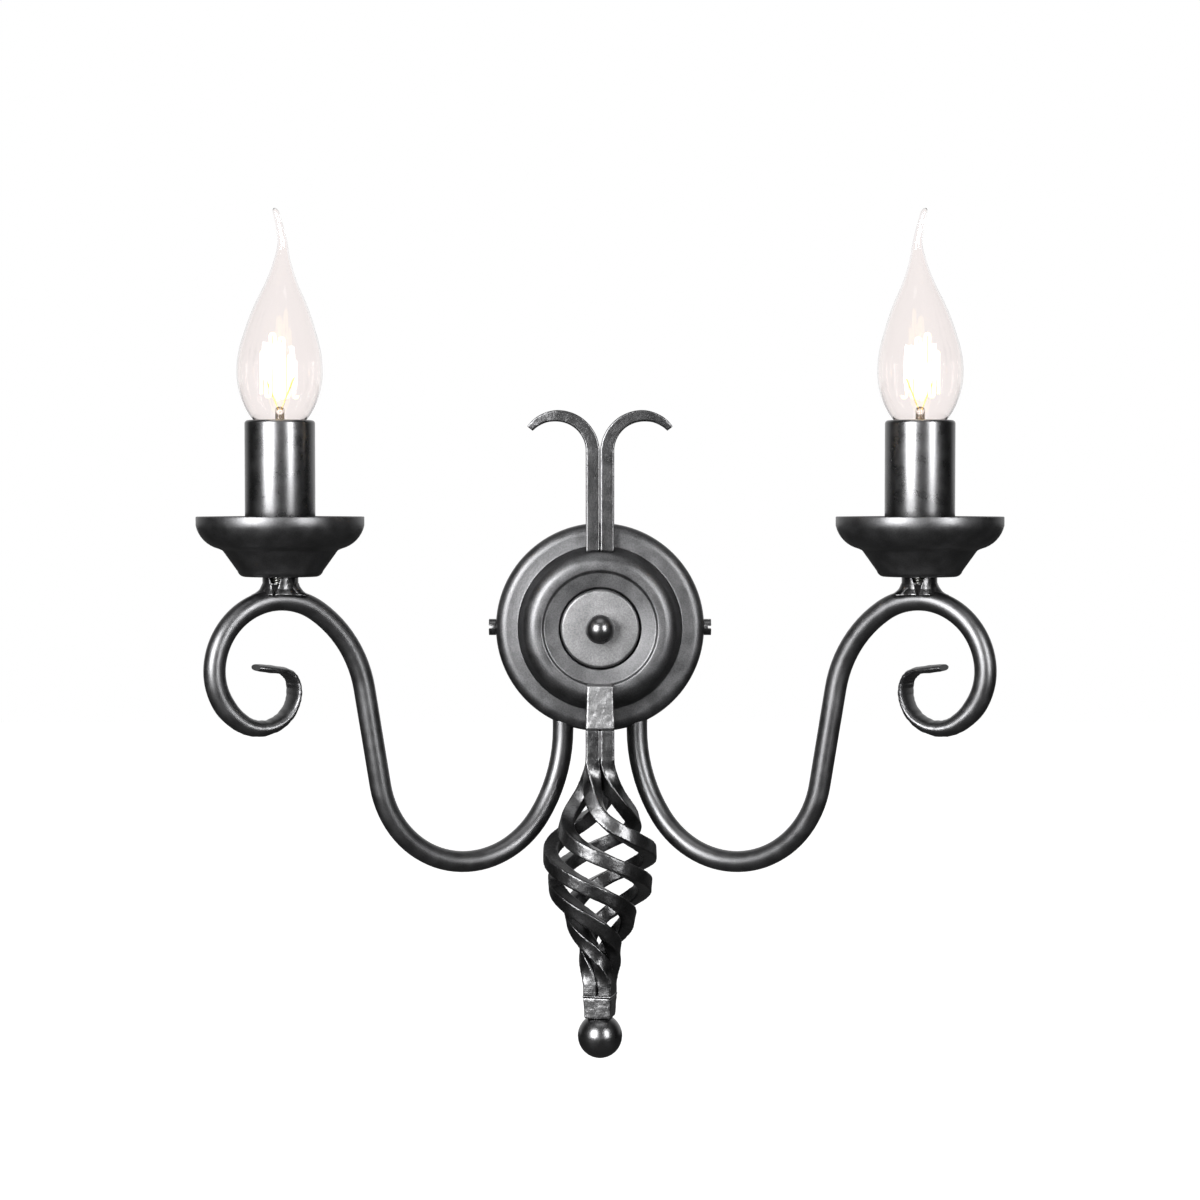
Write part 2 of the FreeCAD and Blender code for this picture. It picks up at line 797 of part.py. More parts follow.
def makeCollar(label, side):
    # a rolled collar, open in a notch, that straddles the tube
    low = "(tube_radius - collar_cover)"
    outside = cylinder(label + "_outside", "collar_radius", f"{pan_base} - {low}")
    skirt = bind(doc.addObject("Part::Cone", label + "_skirt"),
                 Radius1="collar_radius + collar_spread", Radius2="collar_radius",
                 Height="collar_skirt")
    blank = doc.addObject("Part::Fuse", label + "_blank")
    blank.Base, blank.Tool = outside, skirt
    bored = cut(label + "_bored", blank, cylinder(label + "_bore", "collar_bore", pan_base))
    saddle = bind(doc.addObject("Part::Torus", label + "_saddle"),
                  Radius1="bend_d_radius", Radius2="tube_radius")
    depth = -size(low) - crest_span["radius"]
    saddle.Placement = FreeCAD.Placement(
        Vector(0, 0, depth), armPlace(side).Rotation.multiply(facing))
    seated = cut(label + "_seated", bored, saddle)
    notch = doc.addObject("Part::Wedge", label + "_notch")
    half = "notch_width / 2"
    bind(notch, Xmin="-notch_foot", Xmax="notch_foot", X2min=f"-{half}", X2max=half, Ymin="0",
         Ymax="notch_depth", Zmin="0", Zmax="collar_radius * 2",
         Z2min="0", Z2max="collar_radius * 2")
    lean = FreeCAD.Rotation(Vector(0, 0, 1), -size("notch_turn")).multiply(facing)
    notch.Placement = FreeCAD.Placement(
        Vector(0, 0, size(f"{pan_base} - {low} - notch_depth")), lean)
    open_collar = cut(label, seated, notch)
    return finish(open_collar, label, candlePlace(side, size(low)))


def makeNipple(label, side):
    low = "(tube_radius + loose_gap)"
    length = f"{pan_base} - {low} + nipple_up"
    outside = cylinder(label + "_outside", "nipple_radius", length)
    pipe = cut(label, outside, cylinder(label + "_bore", "nipple_bore", length))
    return finish(pipe, label, candlePlace(side, size(low)))


# ---------------------------------------------------------------- pan and sleeve


def makePan(label, side):
    body = newBody(label)
    hole = "nipple_radius + running_gap"
    wall, top = "pan_wall", "pan_height"
    bowl_top = "(pan_height - pan_rim)"
    crease = "(bowl_low - crease_drop)"
    revolve(body, [
        (hole, "0"), ("floor_radius", "0"),
        ("foot_radius", "foot_height", "foot_round", "left"),
        ("crease_radius", crease), ("bowl_inner", "bowl_low"),
        ("pan_radius", bowl_top, "bowl_round", "left"), ("pan_radius", top),
        (f"pan_radius - {wall} - pan_bead", top),
        (f"pan_radius - {wall} - pan_bead", f"{top} - bead_height"),
        (f"pan_radius - {wall}", f"{top} - bead_height"),
        (f"pan_radius - {wall}", f"{bowl_top}"),
        ("bowl_inner - bowl_shift", f"bowl_low + {wall}", f"bowl_round - {wall}", "right"),
        (f"crease_radius - {wall}", f"{crease} + crease_shift"),
        (f"foot_radius - {wall}", "foot_height + foot_shift"),
        ("floor_radius - bowl_shift", wall, f"foot_round - {wall}", "right"),
        (hole, wall),
    ])
    return finish(body, label, candlePlace(side, size(pan_base)))


def makeSleeve(label, side):
    body = newBody(label)
    inner = "sleeve_radius - sleeve_wall"
    top = "sleeve_length"
    revolve(body, [
        ("sleeve_radius", "0"), ("sleeve_radius", f"{top} - sleeve_round"),
        ("sleeve_radius - sleeve_round", top, "sleeve_round", "left"),
        ("sleeve_mouth", top), ("sleeve_mouth", f"{top} - sleeve_wall"),
        ("sleeve_radius - sleeve_round", f"{top} - sleeve_wall"),
        (inner, f"{top} - sleeve_round", "sleeve_round - sleeve_wall", "right"),
        (inner, "0"),
    ])
    return finish(body, label, candlePlace(side, size(f"{pan_base} + pan_wall")))


# ---------------------------------------------------------------- lampholder



def makeHolder(name, side):
    body = newBody(name + "_lampholder_body")
    neck = "nipple_radius + running_gap"
    socket = "shell_radius + running_gap"
    revolve(body, [
        (neck, "0"), ("holder_stem", "0"), ("holder_stem", "skirt_start"),
        ("holder_radius", "skirt_start + skirt_slope"),
        ("holder_radius", f"{holder_length} - holder_round"),
        ("holder_radius - holder_round", holder_length, "holder_round", "left"),
        (socket, holder_length), (socket, "socket_floor"),
        ("wire_way", "socket_floor"), ("wire_way", "socket_floor - floor_thick"),
        (neck, "socket_floor - floor_thick"),
    ])
    base = size(f"{pan_floor} + {holder_low}")
    finish(body, name + "_lampholder_body", candlePlace(side, base))
    floor = base + size("socket_floor")
    outside = cylinder(name + "_shell_outside", "shell_radius", "shell_length")
    inside = cylinder(name + "_shell_inside", "shell_radius - shell_wall", "shell_length")
    shell = cut(name + "_lampholder_shell", outside, inside)
    lift = size("contact_thick + button_height")
    finish(shell, name + "_lampholder_shell", candlePlace(side, floor + lift))
    contact = cylinder(name + "_centre_contact", "contact_radius", "contact_thick")
    finish(contact, name + "_centre_contact", candlePlace(side, floor))
    return floor + size("contact_thick + loose_gap")


# ---------------------------------------------------------------- bulb


def makeCap(label, side, height):
    body = newBody(label)
    button, foot = "button_height", cap_foot
    top = f"({foot} + cap_height)"
    seat = f"({top} + cap_spread)"
    neck, brim = "glass_neck + running_gap", f"{seat} + neck_height"
    revolve(body, [
        ("0", "0"), ("button_radius", "0"), ("button_radius", button),
        ("insulator_radius", button), ("cap_radius - cap_round", foot),
        ("cap_radius", f"{foot} + cap_round"), ("cap_radius", top),
        ("cap_collar_radius", seat), ("cap_collar_radius", brim), (neck, brim),
        (neck, seat), ("cap_radius - cap_wall", top),
        ("cap_radius - cap_wall", f"{foot} + cap_wall"), ("0", f"{foot} + cap_wall"),
    ])
    finish(body, label, candlePlace(side, height))
    return height + size(f"{seat} + running_gap")


def glassProfile(inset=""):
    # neck, flare, belly, shoulder, taper and waist of the glass, or of its inside
    waist = "waist_round" + inset.replace("-", "+")
    return [
        ("glass_neck" + inset, "0"), ("glass_neck" + inset, "neck_height"),
        ("mouth_glass" + inset, "mouth_height"),
        ("belly_glass" + inset, "belly_height", "belly_round" + inset, "left"),
        ("shoulder_glass" + inset, "shoulder_height", "shoulder_round" + inset, "left"),
        ("taper_glass" + inset, "taper_height", "taper_round" + inset, "left"),
        ("stalk_glass" + inset, "stalk_height", waist, "right"),
        ("0", "stalk_height"),
    ]


def makeGlass(label, side, height):
    outside = turned([("0", "0")] + glassProfile())
    inside = turned([("0", "0")] + glassProfile(" - glass_wall"))
    low, top = size("stalk_height"), size("tip_height")
    wide, narrow = size("stalk_glass"), size("tip_glass")
    rings = []
    for share in (0, 0.2, 0.5, 0.8, 0.97, 1.0):
        radius = wide + (narrow - wide) * min(share * 1.6, 1)
        radius *= 0.45 if share == 1.0 else 1.0
        middle = Vector(side * size("tip_lean") * share ** 1.6, 0, low + (top - low) * share)
        rings.append(Part.Wire(Part.makeCircle(radius, middle)))
    tip = Part.makeLoft(rings, True, False)
    return shaped(label, outside.fuse(tip).cut(inside), candlePlace(side, height))


def rod(start, end, radius):
    return Part.makeCylinder(radius, (end - start).Length, start, end - start)


def makeFilament(label, side, height):
    # a glass stem, two supports in a V and the wire between them
    wire, spread = size("filament_radius"), size("filament_spread")
    low, high = size("filament_low"), size("filament_high")
    flare = "glass_neck - glass_wall - running_gap"
    stem = turned([
        ("0", "0"), (flare, "0"), (flare, "stem_flare"), ("mount_radius", "mouth_height"),
        ("mount_radius", "filament_low"), ("0", "filament_low"),
    ])
    tops = [Vector(-spread, 0, high), Vector(spread, 0, high)]
    zigzag, turns = size("zigzag_height"), 5
    kinks = [Vector(spread * (2 * step / turns - 1), 0, high - zigzag * (-1) ** step)
             for step in range(1, turns)]
    run = [Vector(0, 0, low - wire), tops[0]] + kinks + [tops[1], Vector(0, 0, low - wire)]
    pieces = [rod(first, last, wire) for first, last in zip(run, run[1:])]
    pieces += [Part.makeSphere(wire, point) for point in run[1:-1]]
    return shaped(label, stem.multiFuse(pieces), candlePlace(side, height))


# ---------------------------------------------------------------- horns


def squareWire(centre, across, side, half_across, half_side):
    corners = [(1, 1), (-1, 1), (-1, -1), (1, -1), (1, 1)]
    return Part.makePolygon([
        centre + across * (half_across * a) + side * (half_side * b) for a, b in corners
    ])


def makeHorn(label, side, form):
    half = size("bar_width") / 2
    start = Vector(half + size("bar_seam"), 0, size(horn_low))
    spans = bentPath(start, 90, [
        size("horn_run"), (size("horn_curl"), -90.0), (size("horn_droop"), -size("droop_turn"))])
    run, curl, droop = [span["length"] for span in spans]
    crest, tip, deep = [size(name) / 2 for name in
                        ("horn_crest_width", "horn_tip_width", "horn_tip_depth")]
    curl_steps, droop_steps = 6, 4
    stations = [0, run] + [run + curl * step / curl_steps for step in range(1, curl_steps + 1)]
    stations += [run + curl + droop * step / droop_steps for step in range(1, droop_steps + 1)]
    sections = []
    for distance in stations:
        point, angle = along(spans, distance)
        point = Vector(side * point.x, point.y, point.z)
        across = Vector(-math.sin(angle) * side, 0, math.cos(angle))
        bent = min(max(distance - run, 0) / curl, 1)
        drawn = max(distance - run - curl, 0) / droop
        wide = half + (crest - half) * bent + (tip - crest) * drawn
        thick = half + (deep - half) * drawn
        sections.append(squareWire(point, across, Vector(0, 1, 0), wide, thick))
    straight = Part.makeLoft(sections[:2], True, True)
    horn = straight.fuse(Part.makeLoft(sections[1:], True, False)).removeSplitter()
    horn.translate(Vector(0, -size(ring_depth) - half, 0))
    return shaped(label, horn.cut(form))


# ---------------------------------------------------------------- twisted basket

# two bars and the seam between them reach this far from the axis
bundle_half = "(bar_width + bar_seam)"
basket_depth = f"({crest_depth} + {bundle_half})"


def twistAt(share):
    # turn of the rods in degrees: it builds up, stays steady, then fades
    build, fade = size("twist_build"), size("twist_fade")
    rate = size("twist_total") / (1 - build / 2 - fade / 2)
    if share < build:
        return rate * share * share / (2 * build)
    if share < 1 - fade:
        return rate * (share - build / 2)
    left = 1 - share
    return size("twist_total") - rate * left * left / (2 * fade)


def spreadAt(depth):
    # radius of the rods' middles, by the distance below the start of the twist
    bundle = size("bar_width / 2 + bar_seam") * math.sqrt(2)
    below = depth - size("basket_peak")
    share = below / (size("basket_peak") if below < 0 else size("basket_tail"))
    swell = math.cos(min(abs(share), 1) * math.pi / 2) ** size("basket_power")
    return bundle + (size("basket_radius") - bundle) * swell


def rodPoint(corner, depth):
    turn = math.radians(corner + twistAt(depth / size("twist_length")))
    out = spreadAt(depth)
    return Vector(out * math.cos(turn), out * math.sin(turn), -depth)


def smooth(share):
    share = min(share, 1)
    return share * share * (3 - 2 * share)


def twistedRod(corner):
    # square sections along one rod, each square to the rod's own way
    length, half = size("twist_length"), size("bar_width") / 2
    steps, small = 26, size("twist_length") / 400
    sections = []
    for step in range(steps + 1):
        depth = length * step / steps
        point = rodPoint(corner, depth)
        ahead = Vector(0, 0, -1)
        if 0 < step < steps:
            ahead = (rodPoint(corner, depth + small) - rodPoint(corner, depth - small)).normalize()
        share = depth / length
        ease = smooth(share / size("turn_in")) - smooth((1 - share) / size("turn_out"))
        turn = math.radians(corner + 45 * ease + twistAt(share))
        outward = Vector(math.cos(turn), math.sin(turn), 0)
        side = ahead.cross(outward).normalize()
        outward = side.cross(ahead).normalize()
        sections.append(squareWire(point, outward, side, half, half))
    return Part.makeLoft(sections, True, False)


def makeBasket():
    place = FreeCAD.Placement(Vector(0, -size(basket_depth), -size(twist_start)),
                              FreeCAD.Rotation())
    half = size("bar_width") / 2
    straight, tail = size("rod_lead"), size("rod_tail")
    length = size("twist_length")
    for index, corner in enumerate((315, 225, 135, 45), start=1):
        top = rodPoint(corner, 0)
        upper = squareWire(top, Vector(1, 0, 0), Vector(0, 1, 0), half, half)
        turn = math.radians(corner + size("twist_total") + 45)
        lower = squareWire(rodPoint(corner, length), Vector(math.cos(turn), math.sin(turn), 0),
                           Vector(-math.sin(turn), math.cos(turn), 0), half, half)
        ends = [Part.Face(upper).extrude(Vector(0, 0, straight)),
                Part.Face(lower).extrude(Vector(0, 0, -tail))]
        shaped(f"basket_rod_{index}", twistedRod(corner).multiFuse(ends), place)


def makeBlocks(form):
    wide, narrow = size(bundle_half), size("block_top_width") / 2
    axis_y = -size(basket_depth)
    x, y = Vector(1, 0, 0), Vector(0, 1, 0)
    top = squareWire(Vector(0, axis_y, -size(block_top)), x, y, narrow, wide)
    low = squareWire(Vector(0, axis_y, -size(rods_start)), x, y, wide, wide)
    shaped("basket_top_block", Part.makeLoft([top, low], True, True).cut(form))
    turn = math.radians(size("twist_total") - 450)
    x = Vector(math.cos(turn), math.sin(turn), 0)
    y = Vector(-math.sin(turn), math.cos(turn), 0)
    foot = size("foot_block_width") / 2
    under = size(f"{rods_end} + foot_block_length")
    top = squareWire(Vector(0, axis_y, -size(rods_end)), x, y, wide, wide)
    low = squareWire(Vector(0, axis_y, -under), x, y, foot, foot)
    shaped("basket_bottom_block", Part.makeLoft([top, low], True, True))
    ball = newBody("finial_ball")
    rise = "sqrt(ball_radius ^ 2 - ball_flat ^ 2)"
    revolve(ball, [
        ("0", f"-ball_radius - {rise}"),
        ("ball_flat", "0", "ball_radius", "left"), ("0", "0"),
    ])
    finish(ball, "finial_ball", FreeCAD.Placement(Vector(0, axis_y, -under), FreeCAD.Rotation()))


# ---------------------------------------------------------------- the whole light


def makeCandle(name, side):
    makeArm(name + "_arm", side)
    makeLead(name + "_lead", side)
    makeCollar(name + "_pan_collar", side)
    makeNipple(name + "_nipple", side)
    makePan(name + "_drip_pan", side)
    hexNut(name + "_lock_nut", "lock_nut_flat", "lock_nut_thick", "nipple_radius + running_gap",
           candlePlace(side, size(pan_floor)))
    contact_top = makeHolder(name, side)
    makeSleeve(name + "_candle_sleeve", side)
    glass_low = makeCap(name + "_bulb_cap", side, contact_top)
    makeGlass(name + "_bulb_glass", side, glass_low)
    makeFilament(name + "_filament", side, glass_low)


makeBracket()
makeCanopy()
makeSideScrew("left_side_screw", -90, -1)
makeSideScrew("right_side_screw", 90, 1)
makeCentre()
makeTerminals()
for name, side in (("left", -1), ("right", 1)):
    makeCandle(name, side)
canopy_form = makeCanopyForm()
doc.recompute()
makeHorn("left_horn", -1, canopy_form.Shape)
makeHorn("right_horn", 1, canopy_form.Shape)
makeBasket()
makeBlocks(canopy_form.Shape)
doc.recompute()

for item in doc.Objects:
    if "Invalid" in item.State or "Error" in item.State:
        raise RuntimeError(f"{item.Label} failed: {item.State}")
for item in finished:
    if item.Shape.isNull() or not item.Shape.isValid():
        raise RuntimeError(f"{item.Label} has no sound shape")

os.makedirs("parts", exist_ok=True)
for item in finished:
    item.Shape.exportStep(f"parts/{item.Label}.step")
    print(f"{item.Label:26s} {len(item.Shape.Solids)} solid, {item.Shape.Volume:10.1f} mm3")
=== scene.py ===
import bpy
import json
import math
import random
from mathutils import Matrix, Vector


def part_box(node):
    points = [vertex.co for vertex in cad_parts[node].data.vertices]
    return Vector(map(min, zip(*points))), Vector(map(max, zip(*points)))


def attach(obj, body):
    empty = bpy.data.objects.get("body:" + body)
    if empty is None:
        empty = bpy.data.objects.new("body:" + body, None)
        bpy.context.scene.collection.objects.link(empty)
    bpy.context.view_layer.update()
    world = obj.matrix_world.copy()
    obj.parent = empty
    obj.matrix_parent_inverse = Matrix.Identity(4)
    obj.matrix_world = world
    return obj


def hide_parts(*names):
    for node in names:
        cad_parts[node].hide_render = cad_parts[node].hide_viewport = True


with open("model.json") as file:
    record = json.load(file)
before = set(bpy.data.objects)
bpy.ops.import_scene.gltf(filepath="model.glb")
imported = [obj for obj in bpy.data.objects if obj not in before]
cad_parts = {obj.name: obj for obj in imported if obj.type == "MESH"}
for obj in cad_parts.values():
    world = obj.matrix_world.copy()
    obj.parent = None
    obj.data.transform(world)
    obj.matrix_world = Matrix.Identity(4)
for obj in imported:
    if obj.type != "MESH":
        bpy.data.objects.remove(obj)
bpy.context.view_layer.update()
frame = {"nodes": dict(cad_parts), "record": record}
bpy.ops.object.select_all(action="DESELECT")
print("frame loaded:", len(frame["nodes"]), "nodes")

mm = 0.001


# camera and studio

camera = {
    "place": (0.0, -1.1765, 0.055),   # level with the canopy, 1.18 m from the wall
    "pitchDown": 2.12,                # degrees
    "lens": 81.09,                    # on a 36 mm sensor
}


def makeCamera(c):
    turn = (math.radians(90 - c["pitchDown"]), 0, 0)
    bpy.ops.object.camera_add(location=c["place"], rotation=turn)
    eye = bpy.context.object
    eye.data.lens = c["lens"]
    eye.data.sensor_width = 36
    bpy.context.scene.camera = eye


softBoxes = [
    # azimuth from straight ahead of the light, + is to the right; all angles in degrees
    {"name": "leftBox", "azimuth": -33, "rise": 13, "away": 1.5, "size": (0.80, 1.0),
     "power": 13, "spread": 90},
    {"name": "rightBox", "azimuth": 37, "rise": 13, "away": 1.5, "size": (0.40, 0.95),
     "power": 5.2, "spread": 90},
    {"name": "topBox", "azimuth": 0, "rise": 74, "away": 1.6, "size": (1.2, 0.9),
     "power": 1.3, "spread": 90},
]
lightAim = Vector((0, -0.04, 0))      # what the boxes face, inside the light


def makeSoftBoxes(boxes, aim):
    for b in boxes:
        az, up = math.radians(b["azimuth"]), math.radians(b["rise"])
        out = Vector((math.sin(az) * math.cos(up), -math.cos(az) * math.cos(up), math.sin(up)))
        bpy.ops.object.light_add(type="AREA", location=aim + out * b["away"])
        lamp = bpy.context.object
        lamp.name = b["name"]
        lamp.rotation_euler = out.to_track_quat("Z", "Y").to_euler()
        lamp.data.shape = "RECTANGLE"
        lamp.data.size, lamp.data.size_y = b["size"]
        lamp.data.energy = b["power"]
        lamp.data.spread = math.radians(b["spread"])


room = {
    "light": 0.34,                    # what the room gives to dull surfaces
    "ceiling": 0.16,                  # what metal mirrors from straight above
    "ceilingFrom": 0.45,              # how steeply up that begins
    # brightness that metal mirrors, by direction: -1 is the room's end, 0 the side, 1 the wall
    "mirrored": [(-1.0, 0.17), (-0.75, 0.12), (-0.45, 0.01), (0.30, 0.01), (0.72, 0.65), (1.0, 0.9)],
}


def mapRange(tree, value, source=(0, 1), target=(0, 1)):
    # turns one span of values into another
    node = tree.nodes.new("ShaderNodeMapRange")
    for label, span in (("From", source), ("To", target)):
        node.inputs[label + " Min"].default_value = span[0]
        node.inputs[label + " Max"].default_value = span[1]
    tree.links.new(value, node.inputs["Value"])
    return node.outputs["Result"]


def combine(tree, operation, first, second):
    node = tree.nodes.new("ShaderNodeMath")
    node.operation = operation
    tree.links.new(first, node.inputs[0])
    tree.links.new(second, node.inputs[1])
    return node.outputs["Value"]


def seenStraight(tree, path):
    # 1 for what the camera sees by itself or through glass
    return combine(tree, "MAXIMUM", path.outputs["Is Camera Ray"], path.outputs["Is Transmission Ray"])


def mixShades(tree, share, first, second):
    node = tree.nodes.new("ShaderNodeMixShader")
    tree.links.new(share, node.inputs["Fac"])
    tree.links.new(first, node.inputs[1])
    tree.links.new(second, node.inputs[2])
    return node.outputs["Shader"]


def makeWorld(r):
    # white for the camera and through glass; metal mirrors dark sides and a white wall
    world = bpy.data.worlds.new("studio")
    bpy.context.scene.world = world
    world.use_nodes = True
    tree = world.node_tree
    nodes, links = tree.nodes, tree.links
    nodes.clear()
    out = nodes.new("ShaderNodeOutputWorld")
    path = nodes.new("ShaderNodeLightPath")
    coord = nodes.new("ShaderNodeTexCoord")
    split = nodes.new("ShaderNodeSeparateXYZ")
    links.new(coord.outputs["Generated"], split.inputs["Vector"])
    ramp = nodes.new("ShaderNodeValToRGB")
    ramp.color_ramp.interpolation = "EASE"
    stops = ramp.color_ramp.elements
    for index, (toWall, bright) in enumerate(r["mirrored"]):
        stop = stops[index] if index < 2 else stops.new(1)
        stop.position = (toWall + 1) / 2
        stop.color = (bright, bright, bright, 1)
    links.new(mapRange(tree, split.outputs["Y"], (-1, 1)), ramp.inputs["Fac"])
    above = mapRange(tree, split.outputs["Z"], (r["ceilingFrom"], 1), (0, r["ceiling"]))
    both = nodes.new("ShaderNodeVectorMath")
    links.new(ramp.outputs["Color"], both.inputs[0])
    links.new(above, both.inputs[1])
    shades = {}
    for name, grey in (("dull", r["light"]), ("mirror", 0), ("white", 1)):
        node = nodes.new("ShaderNodeBackground")
        node.inputs["Color"].default_value = (grey, grey, grey, 1)
        shades[name] = node.outputs["Background"]
    links.new(both.outputs["Vector"], shades["mirror"].node.inputs["Color"])
    metal = mixShades(tree, path.outputs["Is Glossy Ray"], shades["dull"], shades["mirror"])
    clear = mixShades(tree, seenStraight(tree, path), metal, shades["white"])
    links.new(clear, out.inputs["Surface"])


def newPaint(name):
    paint = bpy.data.materials.new(name)
    paint.use_nodes = True
    return paint, paint.node_tree.nodes["Principled BSDF"]


floorSize = {"drop": 0.62, "side": 14.0, "color": 0.80, "mirrored": 0.05, "glow": 0.80}


def makeFloor(f):
    # the camera sees it white, with the light's own soft shadow left in; metal mirrors it dark
    bpy.ops.mesh.primitive_plane_add(size=f["side"], location=(0, 0, -f["drop"]))
    floor = bpy.context.object
    floor.name = "floor"
    paint, shader = newPaint("paleFloor")
    tree = paint.node_tree
    shader.inputs["Roughness"].default_value = 0.8
    shader.inputs["Emission Color"].default_value = (1, 1, 1, 1)
    path = tree.nodes.new("ShaderNodeLightPath")
    shade = mapRange(tree, path.outputs["Is Glossy Ray"], target=(f["color"], f["mirrored"]))
    tree.links.new(shade, shader.inputs["Base Color"])
    glow = mapRange(tree, seenStraight(tree, path), target=(0, f["glow"]))
    tree.links.new(glow, shader.inputs["Emission Strength"])
    floor.data.materials.append(paint)


bpy.context.scene.view_settings.view_transform = "Standard"
makeCamera(camera)
makeSoftBoxes(softBoxes, lightAim)
makeWorld(room)
makeFloor(floorSize)
print("studio set")


# finishes

finishes = {
    # the canopy's black paint with its colour darkened further: painted shade for the canopy's dish
    # and slopes; its roughness is the paint's own
    "shadedCanopyCoat": {"color": (0.11, 0.11, 0.113), "metallic": 1.0, "roughness": 0.43,
                  "speckle": 0.22, "grain": 0.0006, "bump": 0.03},
    # the same black paint made lighter for the centre disc: a painted highlight on its flat front face
    "litDiscCoat": {"color": (0.20, 0.20, 0.203), "metallic": 1.0, "roughness": 0.50,
                 "speckle": 0.22, "grain": 0.0006, "bump": 0.03},
    # the lower block's forged coat made lighter for the top block: painted light on its face, which
    # tips up towards the lamps
    "blockCoat": {"color": (0.27, 0.27, 0.274), "metallic": 1.0, "roughness": 0.40,
                  "speckle": 0.25, "grain": 0.0008, "bump": 0.06},
    "tubeCoat": {"color": (0.125, 0.125, 0.128), "metallic": 1.0, "roughness": 0.39,
                 "speckle": 0.14, "grain": 0.0005, "bump": 0.012},
    # darker than the other forged coats: painted shade on the sides of the rods and horns
    "shadedRodCoat": {"color": (0.105, 0.105, 0.107), "metallic": 1.0, "roughness": 0.30,
                "speckle": 0.25, "grain": 0.0006, "bump": 0.05},
    "barCoat": {"color": (0.115, 0.115, 0.117), "metallic": 1.0, "roughness": 0.31,
                "speckle": 0.25, "grain": 0.0006, "bump": 0.04},
    "spunCoat": {"color": (0.15, 0.15, 0.153), "metallic": 1.0, "roughness": 0.29,
                 "speckle": 0.12, "grain": 0.0005, "bump": 0.012},
    "forgedCoat": {"color": (0.185, 0.185, 0.188), "metallic": 1.0, "roughness": 0.34,
                   "speckle": 0.25, "grain": 0.0006, "bump": 0.05},
    "greySteel": {"color": (0.30, 0.30, 0.29), "metallic": 1.0, "roughness": 0.38,
                  "speckle": 0.15, "grain": 0.001, "bump": 0.02},
    "goldWire": {"color": (0.80, 0.58, 0.22), "metallic": 1.0, "roughness": 0.25,
                 "speckle": 0.05, "grain": 0.001, "bump": 0.005},
    "zincSteel": {"color": (0.62, 0.62, 0.60), "metallic": 1.0, "roughness": 0.32,
                  "speckle": 0.10, "grain": 0.0012, "bump": 0.02},
    "drawnBrass": {"color": (0.72, 0.53, 0.25), "metallic": 1.0, "roughness": 0.28,
                   "speckle": 0.08, "grain": 0.001, "bump": 0.02},
    "nickelShell": {"color": (0.68, 0.65, 0.60), "metallic": 1.0, "roughness": 0.22,
                    "speckle": 0.06, "grain": 0.001, "bump": 0.01},
    "creamPlastic": {"color": (0.78, 0.76, 0.70), "metallic": 0.0, "roughness": 0.42,
                     "speckle": 0.04, "grain": 0.0015, "bump": 0.01},
    "greySheath": {"color": (0.55, 0.55, 0.53), "metallic": 0.0, "roughness": 0.5,
                   "speckle": 0.05, "grain": 0.001, "bump": 0.01},
}
grains = {
    "fineDetail": 3, "fineSpan": (0.3, 0.7),          # spans: where the noise's values lie
    "broadDetail": 4, "broadSpan": (0.35, 0.65),
    "broadScale": 0.09,                               # of the fine grain's scale
    "broadTint": 0.5,                                 # of the fine grain's speckle
    "unevenRoughness": 0.12,
}


def makeNoise(tree, scale, detail):
    noise = tree.nodes.new("ShaderNodeTexNoise")
    noise.inputs["Scale"].default_value = scale
    noise.inputs["Detail"].default_value = detail
    coord = tree.nodes.new("ShaderNodeTexCoord")
    tree.links.new(coord.outputs["Object"], noise.inputs["Vector"])
    return noise.outputs["Fac"]


def around(middle, share):
    return middle * (1 - share), middle * (1 + share)


def makeFinish(name, f, g):
    # both grains tint the colour, the broad one changes the roughness, the fine one lifts the surface
    paint, shader = newPaint(name)
    tree = paint.node_tree
    fine = makeNoise(tree, 1 / f["grain"], g["fineDetail"])
    broad = makeNoise(tree, g["broadScale"] / f["grain"], g["broadDetail"])
    tint = mapRange(tree, fine, g["fineSpan"], around(1, f["speckle"]))
    cloud = mapRange(tree, broad, g["broadSpan"], around(1, f["speckle"] * g["broadTint"]))
    color = tree.nodes.new("ShaderNodeVectorMath")
    color.operation = "SCALE"
    color.inputs[0].default_value = f["color"]
    tree.links.new(combine(tree, "MULTIPLY", tint, cloud), color.inputs["Scale"])
    tree.links.new(color.outputs["Vector"], shader.inputs["Base Color"])
    rough = mapRange(tree, broad, g["fineSpan"], around(f["roughness"], g["unevenRoughness"]))
    tree.links.new(rough, shader.inputs["Roughness"])
    lift = tree.nodes.new("ShaderNodeBump")
    lift.inputs["Strength"].default_value = 1.0
    lift.inputs["Distance"].default_value = f["bump"] * mm
    tree.links.new(fine, lift.inputs["Height"])
    tree.links.new(lift.outputs["Normal"], shader.inputs["Normal"])
    shader.inputs["Metallic"].default_value = f["metallic"]
    return paint


def makeGlass():
    # clear blown glass, a little warm
    paint, shader = newPaint("blownGlass")
    shader.inputs["Base Color"].default_value = (0.976, 0.94, 0.93, 1)
    shader.inputs["Roughness"].default_value = 0.02
    shader.inputs["IOR"].default_value = 1.46
    shader.inputs["Transmission Weight"].default_value = 1.0
    return paint


def makeGlow():
    paint, shader = newPaint("glowingWire")
    shader.inputs["Base Color"].default_value = (0.9, 0.7, 0.4, 1)
    shader.inputs["Emission Color"].default_value = (1.0, 0.86, 0.56, 1)
    shader.inputs["Emission Strength"].default_value = 1.7
    return paint


finish = {name: makeFinish(name, f, grains) for name, f in finishes.items()}
finish["blownGlass"] = makeGlass()
finish["glowingWire"] = makeGlow()

